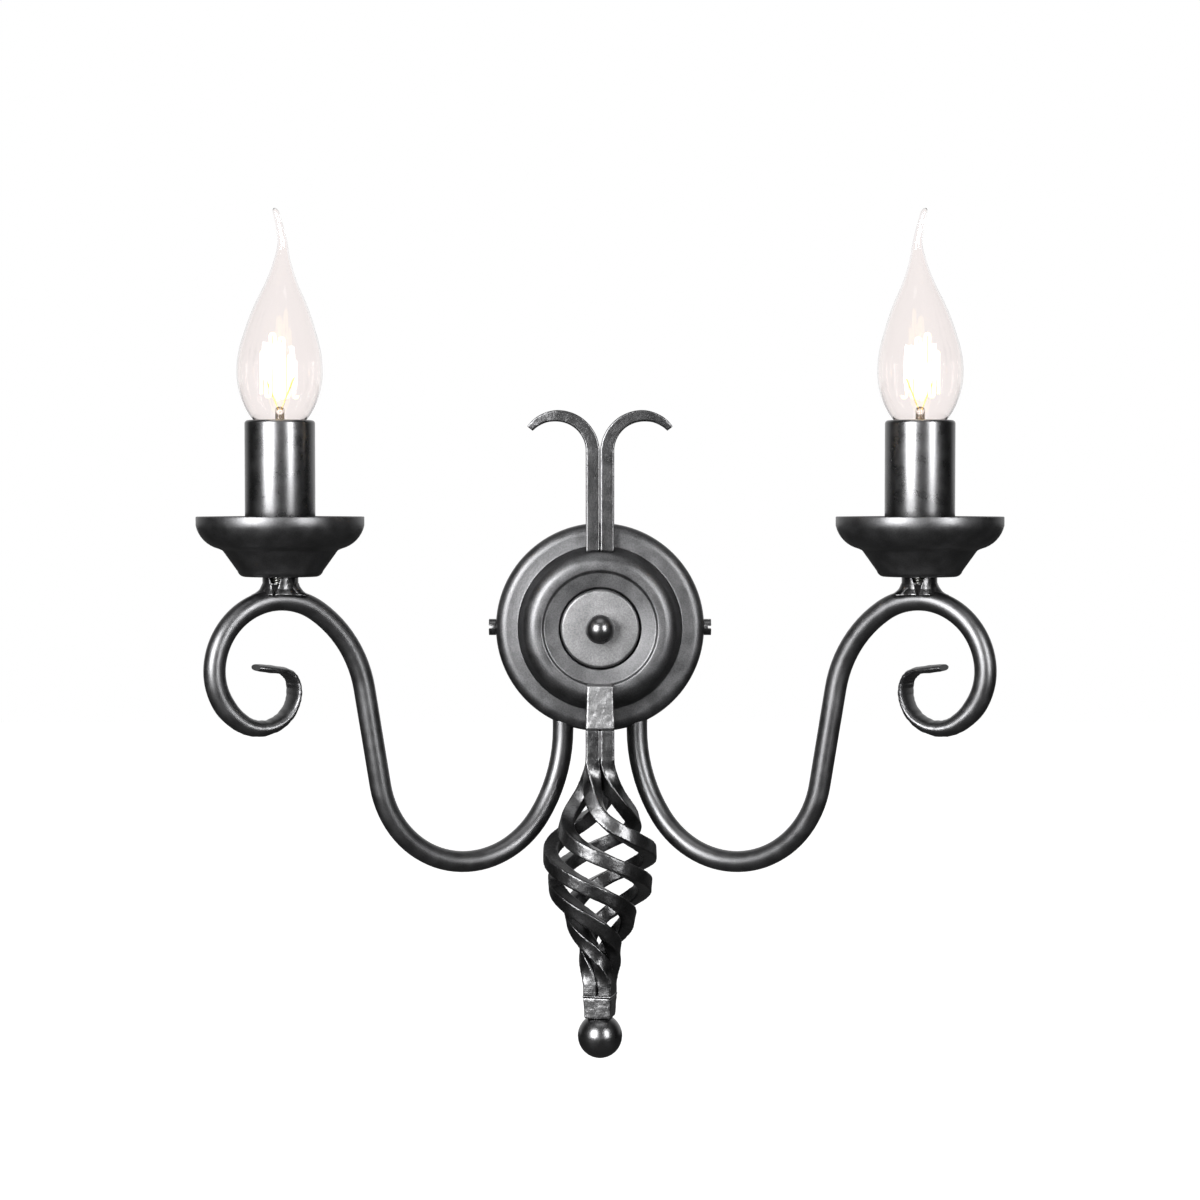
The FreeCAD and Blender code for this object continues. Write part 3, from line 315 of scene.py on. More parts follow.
# the finish of each slot of the record; the leads and lampholder shells show theirs as they are
dressed = {
    "powder_coat": "spunCoat", "zinc_steel": "zincSteel", "socket_brass": "drawnBrass",
    "holder_plastic": "creamPlastic", "terminal_plastic": "creamPlastic",
    "lead_sheath": "greySheath", "bulb_cap": "nickelShell", "bulb_glass": "blownGlass",
    "filament": "glowingWire",
}
slotOf = {part["node"]: part["material_slot"] for part in frame["record"]["subparts"]}
for name, node in frame["nodes"].items():
    for place in node.material_slots:
        place.material = finish[dressed[slotOf[name]]]
print("finishes made")


# modelling helpers: pieces are drawn in mm about their own foot, then placed in metres

def pick(piece):
    bpy.ops.object.select_all(action="DESELECT")
    piece.select_set(True)
    bpy.context.view_layer.objects.active = piece


def applyPlace():
    bpy.ops.object.transform_apply(location=True, rotation=True, scale=True)


def inEdit(piece):
    pick(piece)
    bpy.ops.object.mode_set(mode="EDIT")


def leaveEdit(merge=0.01):
    bpy.ops.mesh.select_all(action="SELECT")
    bpy.ops.mesh.remove_doubles(threshold=merge * mm)
    bpy.ops.mesh.normals_make_consistent(inside=False)
    bpy.ops.object.mode_set(mode="OBJECT")


def turnSelection(degrees, axis, centre):
    # the operator turns the other way when there is no window
    bpy.ops.transform.rotate(value=-math.radians(degrees), orient_axis=axis,
                             center_override=[c * mm for c in centre])


def sizeSelection(factors, centre):
    bpy.ops.transform.resize(value=factors, center_override=[c * mm for c in centre])


def startRing(name, radius, height, sides):
    # a ring about the Z axis, left selected in edit mode
    bpy.ops.object.select_all(action="DESELECT")
    bpy.ops.mesh.primitive_circle_add(vertices=sides, radius=radius * mm,
                                      location=(0, 0, height * mm))
    piece = bpy.context.object
    piece.name = name
    bpy.ops.object.mode_set(mode="EDIT")
    return piece


def pushRing(x, y, z):
    bpy.ops.mesh.extrude_edges_move(TRANSFORM_OT_translate={"value": (x * mm, y * mm, z * mm)})


def arcPoints(start, corner, steps=8):
    # points of the short arc that arrives at a corner, without its two ends
    (x0, y0), (x1, y1, radius, hand) = start, corner
    dx, dy = x1 - x0, y1 - y0
    chord = math.hypot(dx, dy)
    rise = math.sqrt(max(radius ** 2 - chord ** 2 / 4, 0)) * (1 if hand == "left" else -1)
    cx, cy = (x0 + x1) / 2 - dy / chord * rise, (y0 + y1) / 2 + dx / chord * rise
    first = math.atan2(y0 - cy, x0 - cx)
    sweep = (math.atan2(y1 - cy, x1 - cx) - first + math.pi) % (2 * math.pi) - math.pi
    return [(cx + radius * math.cos(first + sweep * step / steps),
             cy + radius * math.sin(first + sweep * step / steps)) for step in range(1, steps)]


def outlinePoints(corners):
    # corners are (radius, height) or, where an arc arrives, (radius, height, arc radius, hand)
    points = [tuple(corners[0][:2])]
    for corner in corners[1:]:
        if len(corner) == 4:
            points += arcPoints(points[-1], corner)
        points.append(tuple(corner[:2]))
    return points


def turnOnLathe(name, corners, sides=72):
    # ring after ring up the outline; an outline on the axis closes there, else on its first ring
    least = 0.004                         # a ring this small merges to one point
    points = [(max(radius, least), height) for radius, height in outlinePoints(corners)]
    piece = startRing(name, *points[0], sides)
    for (radius, height), (nextRadius, nextHeight) in zip(points, points[1:]):
        pushRing(0, 0, nextHeight - height)
        sizeSelection((nextRadius / radius, nextRadius / radius, 1), (0, 0, nextHeight))
    leaveEdit()
    applyPlace()
    return piece


def useModifier(piece, kind, **values):
    pick(piece)
    step = piece.modifiers.new(kind.lower(), kind)
    for key, value in values.items():
        setattr(step, key, value)
    bpy.ops.object.modifier_apply(modifier=step.name)


def softenEdges(piece, width, segments=2, over=32):
    useModifier(piece, "BEVEL", width=width * mm, segments=segments, limit_method="ANGLE",
                angle_limit=math.radians(over), miter_outer="MITER_ARC")


def smoothShade(piece, angle=38):
    pick(piece)
    bpy.ops.object.shade_smooth_by_angle(angle=math.radians(angle))


def placePiece(piece, place, turn=(0, 0, 0)):
    # place in metres, turn in degrees; both end up in the mesh
    pick(piece)
    piece.location = place
    piece.rotation_euler = [math.radians(t) for t in turn]
    applyPlace()


def copyPiece(piece, name, place=(0, 0, 0), turn=(0, 0, 0), mirror=False):
    other = piece.copy()
    other.data = piece.data.copy()
    other.name = name
    bpy.context.scene.collection.objects.link(other)
    if mirror:
        other.scale = (-1, 1, 1)
        placePiece(other, (0, 0, 0))
        inEdit(other)
        leaveEdit(0.001)
    placePiece(other, place, turn)
    return other


def dress(piece, paint, slot, body, *nodes):
    piece.data.materials.clear()
    piece.data.materials.append(finish[paint])
    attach(piece, body)
    if nodes:
        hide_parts(*nodes)


def joinPieces(pieces, name):
    bpy.ops.object.select_all(action="DESELECT")
    for piece in pieces:
        piece.select_set(True)
    bpy.context.view_layer.objects.active = pieces[0]
    bpy.ops.object.join()
    pieces[0].name = name
    return pieces[0]


# canopy and what sits in its middle

canopy = {
    "radius": 45.0, "wall": 1.0, "rimHeight": 9.0, "rimRound": 5.0, "ringDepth": 14.0,
    "ringInner": 35.4, "stepTop": 19.0, "stepLean": 2.2, "crestDepth": 23.0,
    "crestOuter": 28.0, "crestInner": 24.9, "domeRound": 7.0,
    "dishRim": 24.0, "dishRimDepth": 21.9, "dishFloor": 17.6, "dishFloorDepth": 21.6,
    "seat": 17.2, "seatDepth": 20.0, "bore": 2.6, "soft": 0.45,
}


def makeCanopy(c):
    wall = c["wall"]
    ring, slope = c["ringInner"], c["ringInner"] - c["stepLean"]
    piece = turnOnLathe("canopyShell", [
        (c["radius"] - wall, 0), (c["radius"], 0), (c["radius"], c["rimHeight"]),
        (c["radius"] - c["rimRound"], c["ringDepth"], c["rimRound"], "left"),
        (ring, c["ringDepth"]), (slope, c["stepTop"]),
        (c["crestOuter"], c["crestDepth"], c["domeRound"], "left"),
        (c["crestInner"], c["crestDepth"]), (c["dishRim"], c["dishRimDepth"]),
        (c["dishFloor"], c["dishFloorDepth"]), (c["seat"], c["seatDepth"]),
        (c["bore"], c["seatDepth"]), (c["bore"], c["seatDepth"] - wall),
        (c["seat"], c["seatDepth"] - wall), (c["dishRim"], c["dishRimDepth"] - wall),
        (c["crestOuter"] - wall, c["crestDepth"] - wall),
        (slope - wall, c["stepTop"] - wall, c["domeRound"], "right"),
        (ring - wall, c["ringDepth"] - wall), (c["radius"] - c["rimRound"], c["ringDepth"] - wall),
        (c["radius"] - wall, c["rimHeight"], c["rimRound"] - wall, "right"),
        (c["radius"] - wall, 0),
    ], sides=120)
    softenEdges(piece, c["soft"], segments=3, over=18)
    placePiece(piece, (0, 0, 0), (90, 0, 0))
    return piece


canopyShell = makeCanopy(canopy)
smoothShade(canopyShell)
dress(canopyShell, "shadedCanopyCoat", "powder_coat", "fixture", "canopy")
print("canopy made")


# centre disc, ball nut and finial ball

disc = {"radius": 16.8, "thick": 3.8, "round": 1.3, "bore": 2.55, "chamfer": 0.3, "chamferRise": 0.4}


def makeDisc(d):
    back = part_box("cover_disc")[1].y
    piece = turnOnLathe("coverDisc", [
        (d["bore"], 0), (d["radius"] - d["chamfer"], 0), (d["radius"], d["chamferRise"]),
        (d["radius"], d["thick"] - d["round"]),
        (d["radius"] - d["round"], d["thick"], d["round"], "left"),
        (d["bore"], d["thick"]), (d["bore"], 0),
    ], sides=96)
    placePiece(piece, (0, back, 0), (90, 0, 0))
    smoothShade(piece)
    dress(piece, "litDiscCoat", "powder_coat", "fixture", "cover_disc")


ballNut = {"radius": 6.3, "flat": 0.9, "bore": 2.55, "deep": 8.0}


def makeBallNut(b):
    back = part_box("ball_nut")[1].y
    middle = b["radius"] - b["flat"]
    foot = math.sqrt(b["radius"] ** 2 - middle ** 2)
    piece = turnOnLathe("ballNut", [
        (b["bore"], 0), (foot, 0),
        (b["radius"], middle, b["radius"], "left"),
        (0, middle + b["radius"], b["radius"], "left"),
        (0, b["deep"]), (b["bore"], b["deep"]), (b["bore"], 0),
    ], sides=64)
    placePiece(piece, (0, back, 0), (90, 0, 0))
    smoothShade(piece)
    dress(piece, "spunCoat", "powder_coat", "ball_nut", "ball_nut")


finial = {"radius": 9.5, "flat": 4.9}


def makeFinialBall(f):
    low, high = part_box("finial_ball")
    rise = math.sqrt(f["radius"] ** 2 - f["flat"] ** 2)
    piece = turnOnLathe("finialBall", [
        (0, -rise - f["radius"]), (f["radius"], -rise, f["radius"], "left"),
        (f["flat"], 0, f["radius"], "left"), (0, 0),
    ], sides=72)
    middle = (low + high) / 2
    placePiece(piece, (middle.x, middle.y, high.z))
    smoothShade(piece)
    dress(piece, "spunCoat", "powder_coat", "fixture", "finial_ball")


# drip pans and candle sleeves

pan = {
    "bore": 5.05, "wall": 1.0, "floor": 14.9, "foot": 17.4, "footHeight": 2.3, "footRound": 3.2,
    "crease": 23.4, "creaseHeight": 10.7, "bowlInner": 25.0, "bowlLow": 11.4,
    "radius": 34.2, "bowlTop": 20.9, "bowlRound": 12.5, "height": 24.5,
    "bead": 0.8, "beadHeight": 1.8, "soft": 0.35,
    "insideShift": 0.3, "creaseLift": 0.8, "footLift": 0.6,       # shares of the wall
}


def makePan(p):
    wall, rim = p["wall"], p["radius"] - p["wall"] - p["bead"]
    piece = turnOnLathe("leftDripPan", [
        (p["bore"], 0), (p["floor"], 0), (p["foot"], p["footHeight"], p["footRound"], "left"),
        (p["crease"], p["creaseHeight"]), (p["bowlInner"], p["bowlLow"]),
        (p["radius"], p["bowlTop"], p["bowlRound"], "left"), (p["radius"], p["height"]),
        (rim, p["height"]), (rim, p["height"] - p["beadHeight"]),
        (p["radius"] - wall, p["height"] - p["beadHeight"]), (p["radius"] - wall, p["bowlTop"]),
        (p["bowlInner"] - wall * p["insideShift"], p["bowlLow"] + wall,
         p["bowlRound"] - wall, "right"),
        (p["crease"] - wall, p["creaseHeight"] + wall * p["creaseLift"]),
        (p["foot"] - wall, p["footHeight"] + wall * p["footLift"]),
        (p["floor"] - wall * p["insideShift"], wall, p["footRound"] - wall, "right"),
        (p["bore"], wall), (p["bore"], 0),
    ], sides=112)
    softenEdges(piece, p["soft"], over=24)
    return piece


sleeve = {"radius": 14.3, "wall": 0.7, "length": 62.7, "round": 1.4, "mouth": 12.4, "soft": 0.15}


def makeSleeve(s):
    inner, top = s["radius"] - s["wall"], s["length"]
    shoulder = s["radius"] - s["round"]
    piece = turnOnLathe("leftCandleSleeve", [
        (inner, 0), (s["radius"], 0), (s["radius"], top - s["round"]),
        (shoulder, top, s["round"], "left"), (s["mouth"], top),
        (s["mouth"], top - s["wall"]), (shoulder, top - s["wall"]),
        (inner, top - s["round"], s["round"] - s["wall"], "right"), (inner, 0),
    ], sides=96)
    softenEdges(piece, s["soft"], over=40)
    return piece


def seatPair(piece, name, node, paint, slot, body="fixture", mirror=False, stands=None):
    # the left one stands on its node's foot, and a copy on the right one's; stands names the
    # node that it stands for, where that is another one
    names = ["left" + name, "right" + name]
    other = copyPiece(piece, names[1], mirror=mirror)
    piece.name = names[0]
    for one, side in ((piece, "left"), (other, "right")):
        low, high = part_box(side + "_" + node)
        placePiece(one, ((low.x + high.x) / 2, (low.y + high.y) / 2, low.z))
        smoothShade(one)
        rider = body if body == "fixture" else side + "_" + body
        dress(one, paint, slot, rider, side + "_" + (stands or node))


makeDisc(disc)
makeBallNut(ballNut)
makeFinialBall(finial)
seatPair(makePan(pan), "DripPan", "drip_pan", "tubeCoat", "powder_coat")
seatPair(makeSleeve(sleeve), "CandleSleeve", "candle_sleeve", "spunCoat", "powder_coat")
print("spun pieces made")


# arms: a round tube bent in one upright plane, its end hammered flat and curled

arm = {
    "tube": 4.5, "sides": 28, "place": 16.0, "depth": 7.5, "swing": 30.0,
    "start": -37.0, "drop": 7.0,
    # bends are (radius, degrees), + to the left of the way that the tube goes
    "bends": [(64.0, 35.5), (42.0, 134.5)], "rise": 41.3, "riseRings": 4,
    "archBends": [(50.0, -46.0), (29.0, -116.0)],
    "scrollBends": [(25.5, -66.5), (14.9, -100.4), (14.7, -34.0), (7.2, -69.5)],
    "tip": 10.5, "tipRings": 5,
    "step": 4.0,                          # degrees of a bend between two rings
    "flatFrom": 0.22, "flatBy": 0.76, "halfThick": 1.65, "halfWide": 7.0,
    "tipFrom": 0.95, "tipHalfWide": 4.6, "tipThin": 0.25,
    "blows": 0.10, "sideBlows": 0.04,     # how unevenly the hammer left its faces and edges
}


def bendSteps(radius, degrees, step):
    count = max(round(abs(degrees) / step), 2)
    return [(radius, degrees / count)] * count


def bendPath(bends, step):
    moves = []
    for radius, degrees in bends:
        moves += bendSteps(radius, degrees, step)
    return moves


def advance(point, heading, move):
    # the next point and heading of a path in the XZ plane, and the centre of its bend
    along = Vector((math.cos(heading), 0, math.sin(heading)))
    if not isinstance(move, tuple):
        return point + along * move, heading, None
    radius, degrees = move
    hand = 1 if degrees > 0 else -1
    centre = point + Vector((-along.z, 0, along.x)) * radius * hand
    heading += math.radians(degrees)
    return centre + Vector((math.sin(heading), 0, -math.cos(heading))) * radius * hand, heading, centre


def sweepRing(point, heading, moves):
    # pushes the selected ring along the moves
    for move in moves:
        nextPoint, nextHeading, centre = advance(point, heading, move)
        pushRing(0, 0, 0)
        if centre is None:
            step = nextPoint - point
            bpy.ops.transform.translate(value=[c * mm for c in step])
        else:
            turnSelection(-move[1], "Y", centre)
        point, heading = nextPoint, nextHeading
    return point, heading


def hammerScroll(point, heading, curl, a):
    # curls the selected ring on, and makes it flatter and wider from one ring to the next
    lengths = [move[0] * abs(math.radians(move[1])) if isinstance(move, tuple) else move
               for move in curl]
    whole, done = sum(lengths), 0
    wide = thick = a["tube"]
    random.seed(7)
    for move, length in zip(curl, lengths):
        point, heading = sweepRing(point, heading, [move])
        done += length
        share = done / whole
        flat = min(max(share - a["flatFrom"], 0) / (a["flatBy"] - a["flatFrom"]), 1)
        off = math.sqrt(max(1 - (max(share - a["tipFrom"], 0) / (1 - a["tipFrom"])) ** 2, 0))
        newWide = a["tube"] + (a["halfWide"] - a["tube"]) * flat
        newWide = a["tipHalfWide"] + (newWide - a["tipHalfWide"]) * off
        newThick = (a["tube"] + (a["halfThick"] - a["tube"]) * flat) * (1 - a["tipThin"] * (1 - off))
        newThick *= 1 + a["blows"] * flat * random.uniform(-1, 1)
        newWide *= 1 + a["sideBlows"] * flat * random.uniform(-1, 1)
        degrees = math.degrees(heading)
        turnSelection(degrees, "Y", point)
        sizeSelection((1, newWide / wide, newThick / thick), point)
        turnSelection(-degrees, "Y", point)
        wide, thick = newWide, newThick


def makeArm(a):
    piece = startRing("rightArm", a["tube"], a["start"], a["sides"])
    moves = [a["drop"]] + bendPath(a["bends"], a["step"])
    moves += [a["rise"] / a["riseRings"]] * a["riseRings"]
    moves += bendPath(a["archBends"], a["step"])
    point, heading = sweepRing(Vector((0, 0, a["start"])), math.radians(-90), moves)
    curl = bendPath(a["scrollBends"], a["step"]) + [a["tip"] / a["tipRings"]] * a["tipRings"]
    hammerScroll(point, heading, curl, a)
    bpy.ops.mesh.edge_face_add()
    leaveEdit()
    applyPlace()
    return piece


def placeArms(piece, a):
    placePiece(piece, (a["place"] * mm, -a["depth"] * mm, 0), (0, 0, -a["swing"]))
    other = copyPiece(piece, "leftArm", mirror=True)
    for one, node in ((piece, "right_arm"), (other, "left_arm")):
        smoothShade(one)
        dress(one, "tubeCoat", "powder_coat", "fixture", node)


placeArms(makeArm(arm), arm)
print("arms made")


# forged pieces: the bars, blocks and collars, with the soft edges and dents that the hammer left

hammerMarks = bpy.data.textures.new("hammerMarks", "CLOUDS")
hammerMarks.noise_scale = 2.6 * mm
hammerMarks.noise_depth = 2


def pieceName(node):
    words = node.split("_")
    return words[0] + "".join(word.capitalize() for word in words[1:])


def meshCopy(node, name):
    # a merged copy of a CAD node's mesh, its flat faces whole again
    source = frame["nodes"][node]
    piece = bpy.data.objects.new(name, source.data.copy())
    bpy.context.scene.collection.objects.link(piece)
    inEdit(piece)
    bpy.ops.mesh.select_all(action="SELECT")
    bpy.ops.mesh.remove_doubles(threshold=0.002 * mm)
    bpy.ops.mesh.dissolve_limited(angle_limit=math.radians(1.0))
    bpy.ops.object.mode_set(mode="OBJECT")
    if piece.data.has_custom_normals:
        bpy.ops.mesh.customdata_custom_splitnormals_clear()
    return piece


def hammer(piece, f):
    # one even skin, then soft edges, then dents; voxel and dent in mm
    useModifier(piece, "REMESH", mode="VOXEL", voxel_size=f["voxel"] * mm)
    useModifier(piece, "SMOOTH", factor=0.5, iterations=f["rounds"])
    useModifier(piece, "DISPLACE", texture=hammerMarks, texture_coords="LOCAL",
                strength=f["dent"] * mm, mid_level=0.5)


forgings = [
    {"nodes": [f"basket_rod_{number}" for number in range(1, 5)],
     "voxel": 0.42, "rounds": 5, "dent": 0.17, "paint": "shadedRodCoat"},
    {"nodes": ["left_horn", "right_horn"],
     "voxel": 0.34, "rounds": 5, "dent": 0.10, "paint": "shadedRodCoat"},
    {"nodes": ["basket_top_block"],
     "voxel": 0.42, "rounds": 5, "dent": 0.3, "paint": "blockCoat"},
    {"nodes": ["basket_bottom_block"],
     "voxel": 0.42, "rounds": 5, "dent": 0.3, "paint": "forgedCoat"},
    {"nodes": ["left_pan_collar", "right_pan_collar"],
     "voxel": 0.3, "rounds": 4, "dent": 0.25, "paint": "barCoat"},
]


def forge(node, f):
    piece = meshCopy(node, pieceName(node))
    hammer(piece, f)
    smoothShade(piece, 60)
    dress(piece, f["paint"], "powder_coat", "fixture", node)


for forging in forgings:
    for node in forging["nodes"]:
        forge(node, forging)

bead = {
    "grow": 1.05, "press": 0.17, "lift": 0.75, "middle": (0.0, -29.1),
    "voxel": 0.28, "rounds": 3, "dent": 0.3,
}


def makeBead(b):
    # the weld that closes the rods on the lower block: the block's own outline, pressed flat
    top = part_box("basket_bottom_block")[1].z / mm
    piece = meshCopy("basket_bottom_block", "basketBead")
    inEdit(piece)
    bpy.ops.mesh.select_all(action="SELECT")
    sizeSelection((b["grow"], b["grow"], b["press"]), (*b["middle"], top))
    bpy.ops.transform.translate(value=(0, 0, b["lift"] * mm))
    bpy.ops.object.mode_set(mode="OBJECT")
    hammer(piece, b)
    smoothShade(piece, 60)
    dress(piece, "forgedCoat", "powder_coat", "fixture", "basket_bottom_block")


makeBead(bead)

weld = {
    "inner": 6.6, "top": 7.4, "topHeight": 4.6, "foot": -0.6, "lip": 0.5, "round": 6.5,
    "reach": 12.2, "across": 4.9, "voxel": 0.35, "rounds": 3, "dent": 0.35,
}


def makeWeld(w):
    # a hollowed fillet that spreads along the tube and stays inside its width
    piece = turnOnLathe("leftArmWeld", [
        (w["inner"], w["foot"]), (w["reach"], w["foot"]), (w["reach"], w["foot"] + w["lip"]),
        (w["top"], w["topHeight"], w["round"], "right"), (w["inner"], w["topHeight"]),
        (w["inner"], w["foot"]),
    ], sides=64)
    for point in piece.data.vertices:
        down = (w["topHeight"] * mm - point.co.z) / ((w["topHeight"] - w["foot"]) * mm)
        point.co.y *= 1 - down * (1 - w["across"] / w["reach"])
    hammer(piece, w)
    return piece


seatPair(makeWeld(weld), "ArmWeld", "pan_collar", "barCoat", "powder_coat")
print("forged pieces made")


# bulbs: blown glass with a bent tip, on a screw cap

bulb = {
    "neck": 7.9, "neckHeight": 2.2, "mouth": 10.9, "mouthHeight": 4.9,
    "belly": 17.5, "bellyHeight": 24.4, "bellyRound": 32.1,
    "shoulder": 14.8, "shoulderHeight": 39.9, "shoulderRound": 46.0,
    "taper": 8.2, "taperHeight": 57.0, "taperRound": 90.0,
    "stalk": 2.0, "stalkHeight": 76.2, "waistRound": 70.0,
    "tip": 1.4, "tipHeight": 92.0, "tipRings": 10, "tipBy": 1.6, "wall": 0.7,
    "sway": 1.5, "swayCurve": 1.5, "lean": 3.4, "leanCurve": 1.3,
    "closing": {9: 0.8, 10: 0.4}, "lastRise": 0.4,    # the last rings round the tip off
}


def makeGlassBulb(b):
    # open at the neck, closed at the tip; the tip leans to the left and a mirrored copy's to the right
    points = outlinePoints([
        (b["neck"], 0), (b["neck"], b["neckHeight"]), (b["mouth"], b["mouthHeight"]),
        (b["belly"], b["bellyHeight"], b["bellyRound"], "left"),
        (b["shoulder"], b["shoulderHeight"], b["shoulderRound"], "left"),
        (b["taper"], b["taperHeight"], b["taperRound"], "left"),
        (b["stalk"], b["stalkHeight"], b["waistRound"], "right"),
    ])
    piece = startRing("leftBulbGlass", *points[0], 64)
    place = 0
    for (radius, height), (nextRadius, nextHeight) in zip(points, points[1:]):
        share = max(nextHeight - b["bellyHeight"], 0) / (b["stalkHeight"] - b["bellyHeight"])
        nextPlace = b["sway"] * share ** b["swayCurve"]
        pushRing(nextPlace - place, 0, nextHeight - height)
        sizeSelection((nextRadius / radius, nextRadius / radius, 1), (nextPlace, 0, nextHeight))
        place = nextPlace
    radius, height = b["stalk"], b["stalkHeight"]
    evenRise = (b["tipHeight"] - b["stalkHeight"]) / b["tipRings"]
    for ring in range(1, b["tipRings"] + 1):
        share = ring / b["tipRings"]
        nextPlace = b["sway"] - b["lean"] * share ** b["leanCurve"]
        nextRadius = b["stalk"] + (b["tip"] - b["stalk"]) * min(share * b["tipBy"], 1)
        nextRadius *= b["closing"].get(ring, 1)
        rise = evenRise * (b["lastRise"] if ring == b["tipRings"] else 1)
        height += rise
        pushRing(nextPlace - place, 0, rise)
        sizeSelection((nextRadius / radius, nextRadius / radius, 1), (nextPlace, 0, height))
        place, radius = nextPlace, nextRadius
    bpy.ops.mesh.merge(type="CENTER")
    leaveEdit(0.002)
    applyPlace()
    useModifier(piece, "SOLIDIFY", thickness=b["wall"] * mm, offset=-1)
    useModifier(piece, "SUBSURF", levels=1, render_levels=1)
    smoothShade(piece, 180)
    return piece


seatPair(makeGlassBulb(bulb), "BulbGlass", "bulb_glass", "blownGlass", "bulb_glass", "bulb",
         mirror=True)
print("bulbs made")

# inside each bulb: a glass stem, two gilt supports in a V and the glowing wire between them

mount = {
    "flare": 6.9, "flareEdge": 0.56, "flareRound": 9.0,
    "stem": 1.9, "stemRise": 5.5, "top": 10.5, "pinch": 1.3,
    "support": 0.30, "supportFoot": (0.5, 9.0), "supportLean": 22.0, "supportLength": 15.0,
    "hook": (1.2, 70.0), "hookStep": 12.0,
    "wire": 0.60, "wireFoot": (-7.6, 15.5), "runs": 2, "firstRun": 20,     # degrees about Z
    "loops": 4, "strand": 27.0, "turn": 0.95, "turnStep": 20.0,
    "outerLoop": 0.55,                    # of the tallest loop
    "shortest": 0.82, "uneven": 0.1,      # how strands differ by chance
}


def makeStem(m):
    return turnOnLathe("leftBulbStem", [
        (0, 0), (m["flare"], 0), (m["flare"], m["flareEdge"]),
        (m["stem"], m["stemRise"], m["flareRound"], "right"), (m["stem"], m["top"] - m["pinch"]),
        (0, m["top"], m["stem"], "left"),
    ], sides=40)


def makeWire(name, radius, start, heading, moves, sides=12):
    # a round wire along moves in the XZ plane; heading 90 is straight up
    bpy.ops.object.select_all(action="DESELECT")
    bpy.ops.mesh.primitive_circle_add(
        vertices=sides, radius=radius * mm, fill_type="NGON",
        location=(start[0] * mm, 0, start[1] * mm), rotation=(0, math.radians(90 - heading), 0))
    piece = bpy.context.object
    piece.name = name
    bpy.ops.object.mode_set(mode="EDIT")
    sweepRing(Vector((start[0], 0, start[1])), math.radians(heading), moves)
    bpy.ops.mesh.edge_face_add()
    leaveEdit()
    applyPlace()
    return piece


def makeSupports(m):
    moves = [m["supportLength"]] + bendSteps(*m["hook"], m["hookStep"])
    support = makeWire("support", m["support"], m["supportFoot"], 90 - m["supportLean"], moves)
    return joinPieces([support, copyPiece(support, "otherSupport", mirror=True)], "leftBulbSupports")


def makeGlowWire(m):
    # loops up and down, the tallest in the middle, and a second run across the first
    random.seed(11)
    runs = []
    for run in range(m["runs"]):
        moves = []
        for loop in range(m["loops"]):
            inward = 1 - abs(2 * (loop + 0.5) / m["loops"] - 1)
            strand = m["strand"] * (m["outerLoop"] + (1 - m["outerLoop"]) * inward)
            strand *= random.uniform(m["shortest"], 1.0)
            moves += [strand] + bendSteps(m["turn"], -180.0, m["turnStep"])
            moves += [strand * random.uniform(1 - m["uneven"], 1 + m["uneven"])]
            moves += bendSteps(m["turn"], 180.0, m["turnStep"])
        wire = makeWire("run", m["wire"], m["wireFoot"], 90, moves)
        placePiece(wire, (0, 0, 0), (0, 0, 90 * run + m["firstRun"]))
        runs.append(wire)
    return joinPieces(runs, "leftBulbWire")


seatPair(makeStem(mount), "BulbStem", "bulb_glass", "blownGlass", "bulb_glass", "bulb",
         stands="filament")
seatPair(makeSupports(mount), "BulbSupports", "bulb_glass", "goldWire", "filament", "bulb",
         stands="filament")
seatPair(makeGlowWire(mount), "BulbWire", "bulb_glass", "glowingWire", "filament", "bulb",
         stands="filament", mirror=True)
print("bulb insides made")


# screw caps, nipples and the centre stud: turned, with a real helical thread

cap = {
    "button": 2.6, "buttonHeight": 1.0, "insulator": 4.6, "foot": 3.6, "radius": 6.9,
    "threadTop": 19.6, "collar": 8.4, "seat": 21.6, "brim": 24.0, "neck": 8.15, "wall": 0.4,
    "buttonEdge": 0.4, "insulatorRise": 0.3, "footEdge": 0.6, "floor": 0.8,
    "pitch": 2.82, "depth": 0.7, "threadFrom": 6.2, "ringStep": 0.3,
}
nipple = {
    "radius": 5.0, "bore": 3.6, "edge": 0.3,
    "pitch": 1.0, "depth": 0.42, "threadFrom": 4.4, "ringStep": 0.2,
}
stud = {"radius": 2.5, "edge": 0.4, "pitch": 0.8, "depth": 0.4, "threadFrom": 2.0, "ringStep": 0.16}


def straightRun(radius, low, high, step):
    count = max(round(abs(high - low) / step), 1)
    return [(radius, low + (high - low) * index / count) for index in range(count + 1)]


def cutThread(piece, low, high, c):
    # a right-hand groove between two heights, fading out at both, on what lies outside threadFrom
    pitch = c["pitch"]
    for point in piece.data.vertices:
        x, y, z = [c / mm for c in point.co]
        radius = math.hypot(x, y)
        if z <= low or z >= high or radius < c["threadFrom"]:
            continue
        fade = min((z - low) / pitch, (high - z) / pitch, 1)
        turns = z / pitch - math.atan2(y, x) / (2 * math.pi)
        deep = c["depth"] * fade * (1 - math.cos(2 * math.pi * turns)) / 2
        point.co = (x * (1 - deep / radius) * mm, y * (1 - deep / radius) * mm, z * mm)


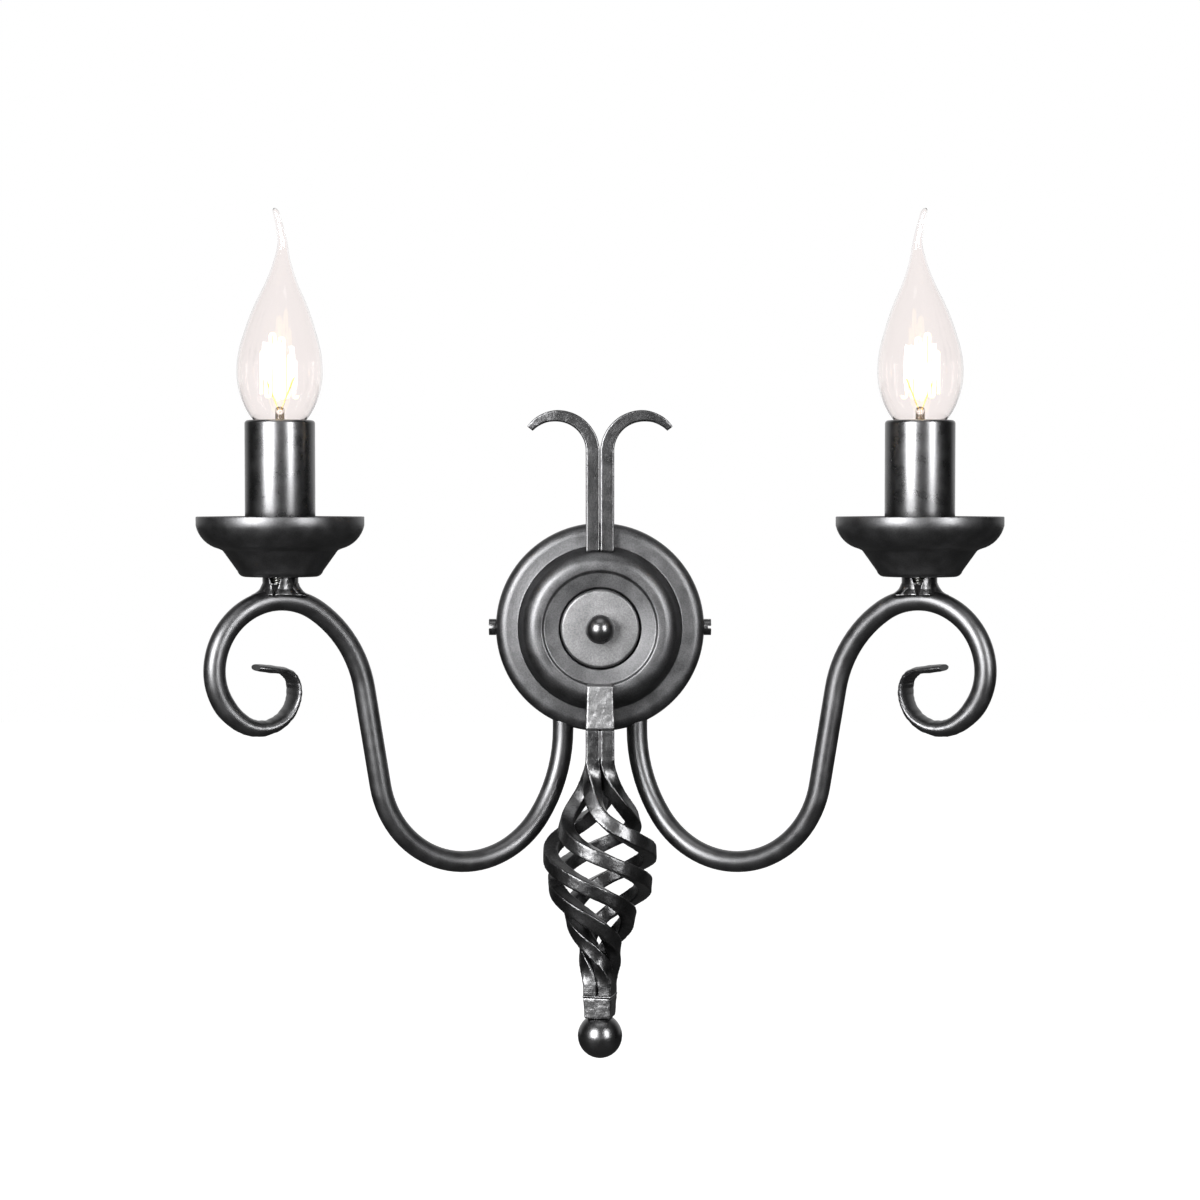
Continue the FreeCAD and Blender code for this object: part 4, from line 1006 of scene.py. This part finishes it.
def makeCap(c):
    foot, floor = c["foot"], c["foot"] + c["floor"]
    outside = straightRun(c["radius"], foot + c["footEdge"], c["threadTop"], c["ringStep"])
    inside = straightRun(c["radius"] - c["wall"], c["threadTop"], floor, c["ringStep"])
    piece = turnOnLathe("leftBulbCap", [
        (0, 0), (c["button"] - c["buttonEdge"], 0), (c["button"], c["buttonEdge"]),
        (c["button"], c["buttonHeight"]),
        (c["insulator"], c["buttonHeight"] + c["insulatorRise"]),
        (c["radius"] - c["footEdge"], foot), *outside,
        (c["collar"], c["seat"]), (c["collar"], c["brim"]), (c["neck"], c["brim"]),
        (c["neck"], c["seat"]), *inside, (0, floor),
    ], sides=64)
    cutThread(piece, floor, c["threadTop"], c)
    return piece


def makeNipple(n):
    low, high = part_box("left_nipple")
    length, edge = (high.z - low.z) / mm, n["edge"]
    piece = turnOnLathe("leftNipple", [
        (n["bore"], 0), (n["radius"] - edge, 0),
        *straightRun(n["radius"], edge, length - edge, n["ringStep"]),
        (n["radius"] - edge, length), (n["bore"], length), (n["bore"], 0),
    ], sides=56)
    cutThread(piece, edge, length - edge, n)
    return piece


def makeStud(s):
    low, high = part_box("centre_stud")
    length, edge = (high.y - low.y) / mm, s["edge"]
    piece = turnOnLathe("centreStud", [
        (0, 0), (s["radius"] - edge, 0),
        *straightRun(s["radius"], edge, length - edge, s["ringStep"]),
        (s["radius"] - edge, length), (0, length),
    ], sides=36)
    cutThread(piece, edge, length - edge, s)
    placePiece(piece, (0, high.y, 0), (90, 0, 0))
    smoothShade(piece, 60)
    dress(piece, "zincSteel", "zinc_steel", "fixture", "centre_stud")


seatPair(makeCap(cap), "BulbCap", "bulb_cap", "nickelShell", "bulb_cap", "cap")
seatPair(makeNipple(nipple), "Nipple", "nipple", "greySteel", slotOf["left_nipple"])
makeStud(stud)
print("threaded pieces made")


# small hardware: merged copies with their corners broken

brokenCorners = {
    "wall_bracket": 0.30, "stud_nut": 0.25, "terminal_block": 0.40, "earth_screw": 0.15,
    "left_side_screw": 0.25, "right_side_screw": 0.25, "left_lock_nut": 0.25,
    "right_lock_nut": 0.25, "left_lampholder_body": 0.35, "right_lampholder_body": 0.35,
    "left_centre_contact": 0.20, "right_centre_contact": 0.20,
}
screwBodies = {"left_side_screw": "left_screw", "right_side_screw": "right_screw"}


def breakCorners(node, width):
    piece = meshCopy(node, pieceName(node))
    softenEdges(piece, width, segments=3, over=40)
    smoothShade(piece, 40)
    paint = "barCoat" if node in screwBodies else dressed[slotOf[node]]
    dress(piece, paint, slotOf[node], screwBodies.get(node, "fixture"), node)


for node, width in brokenCorners.items():
    breakCorners(node, width)
print("small hardware made")
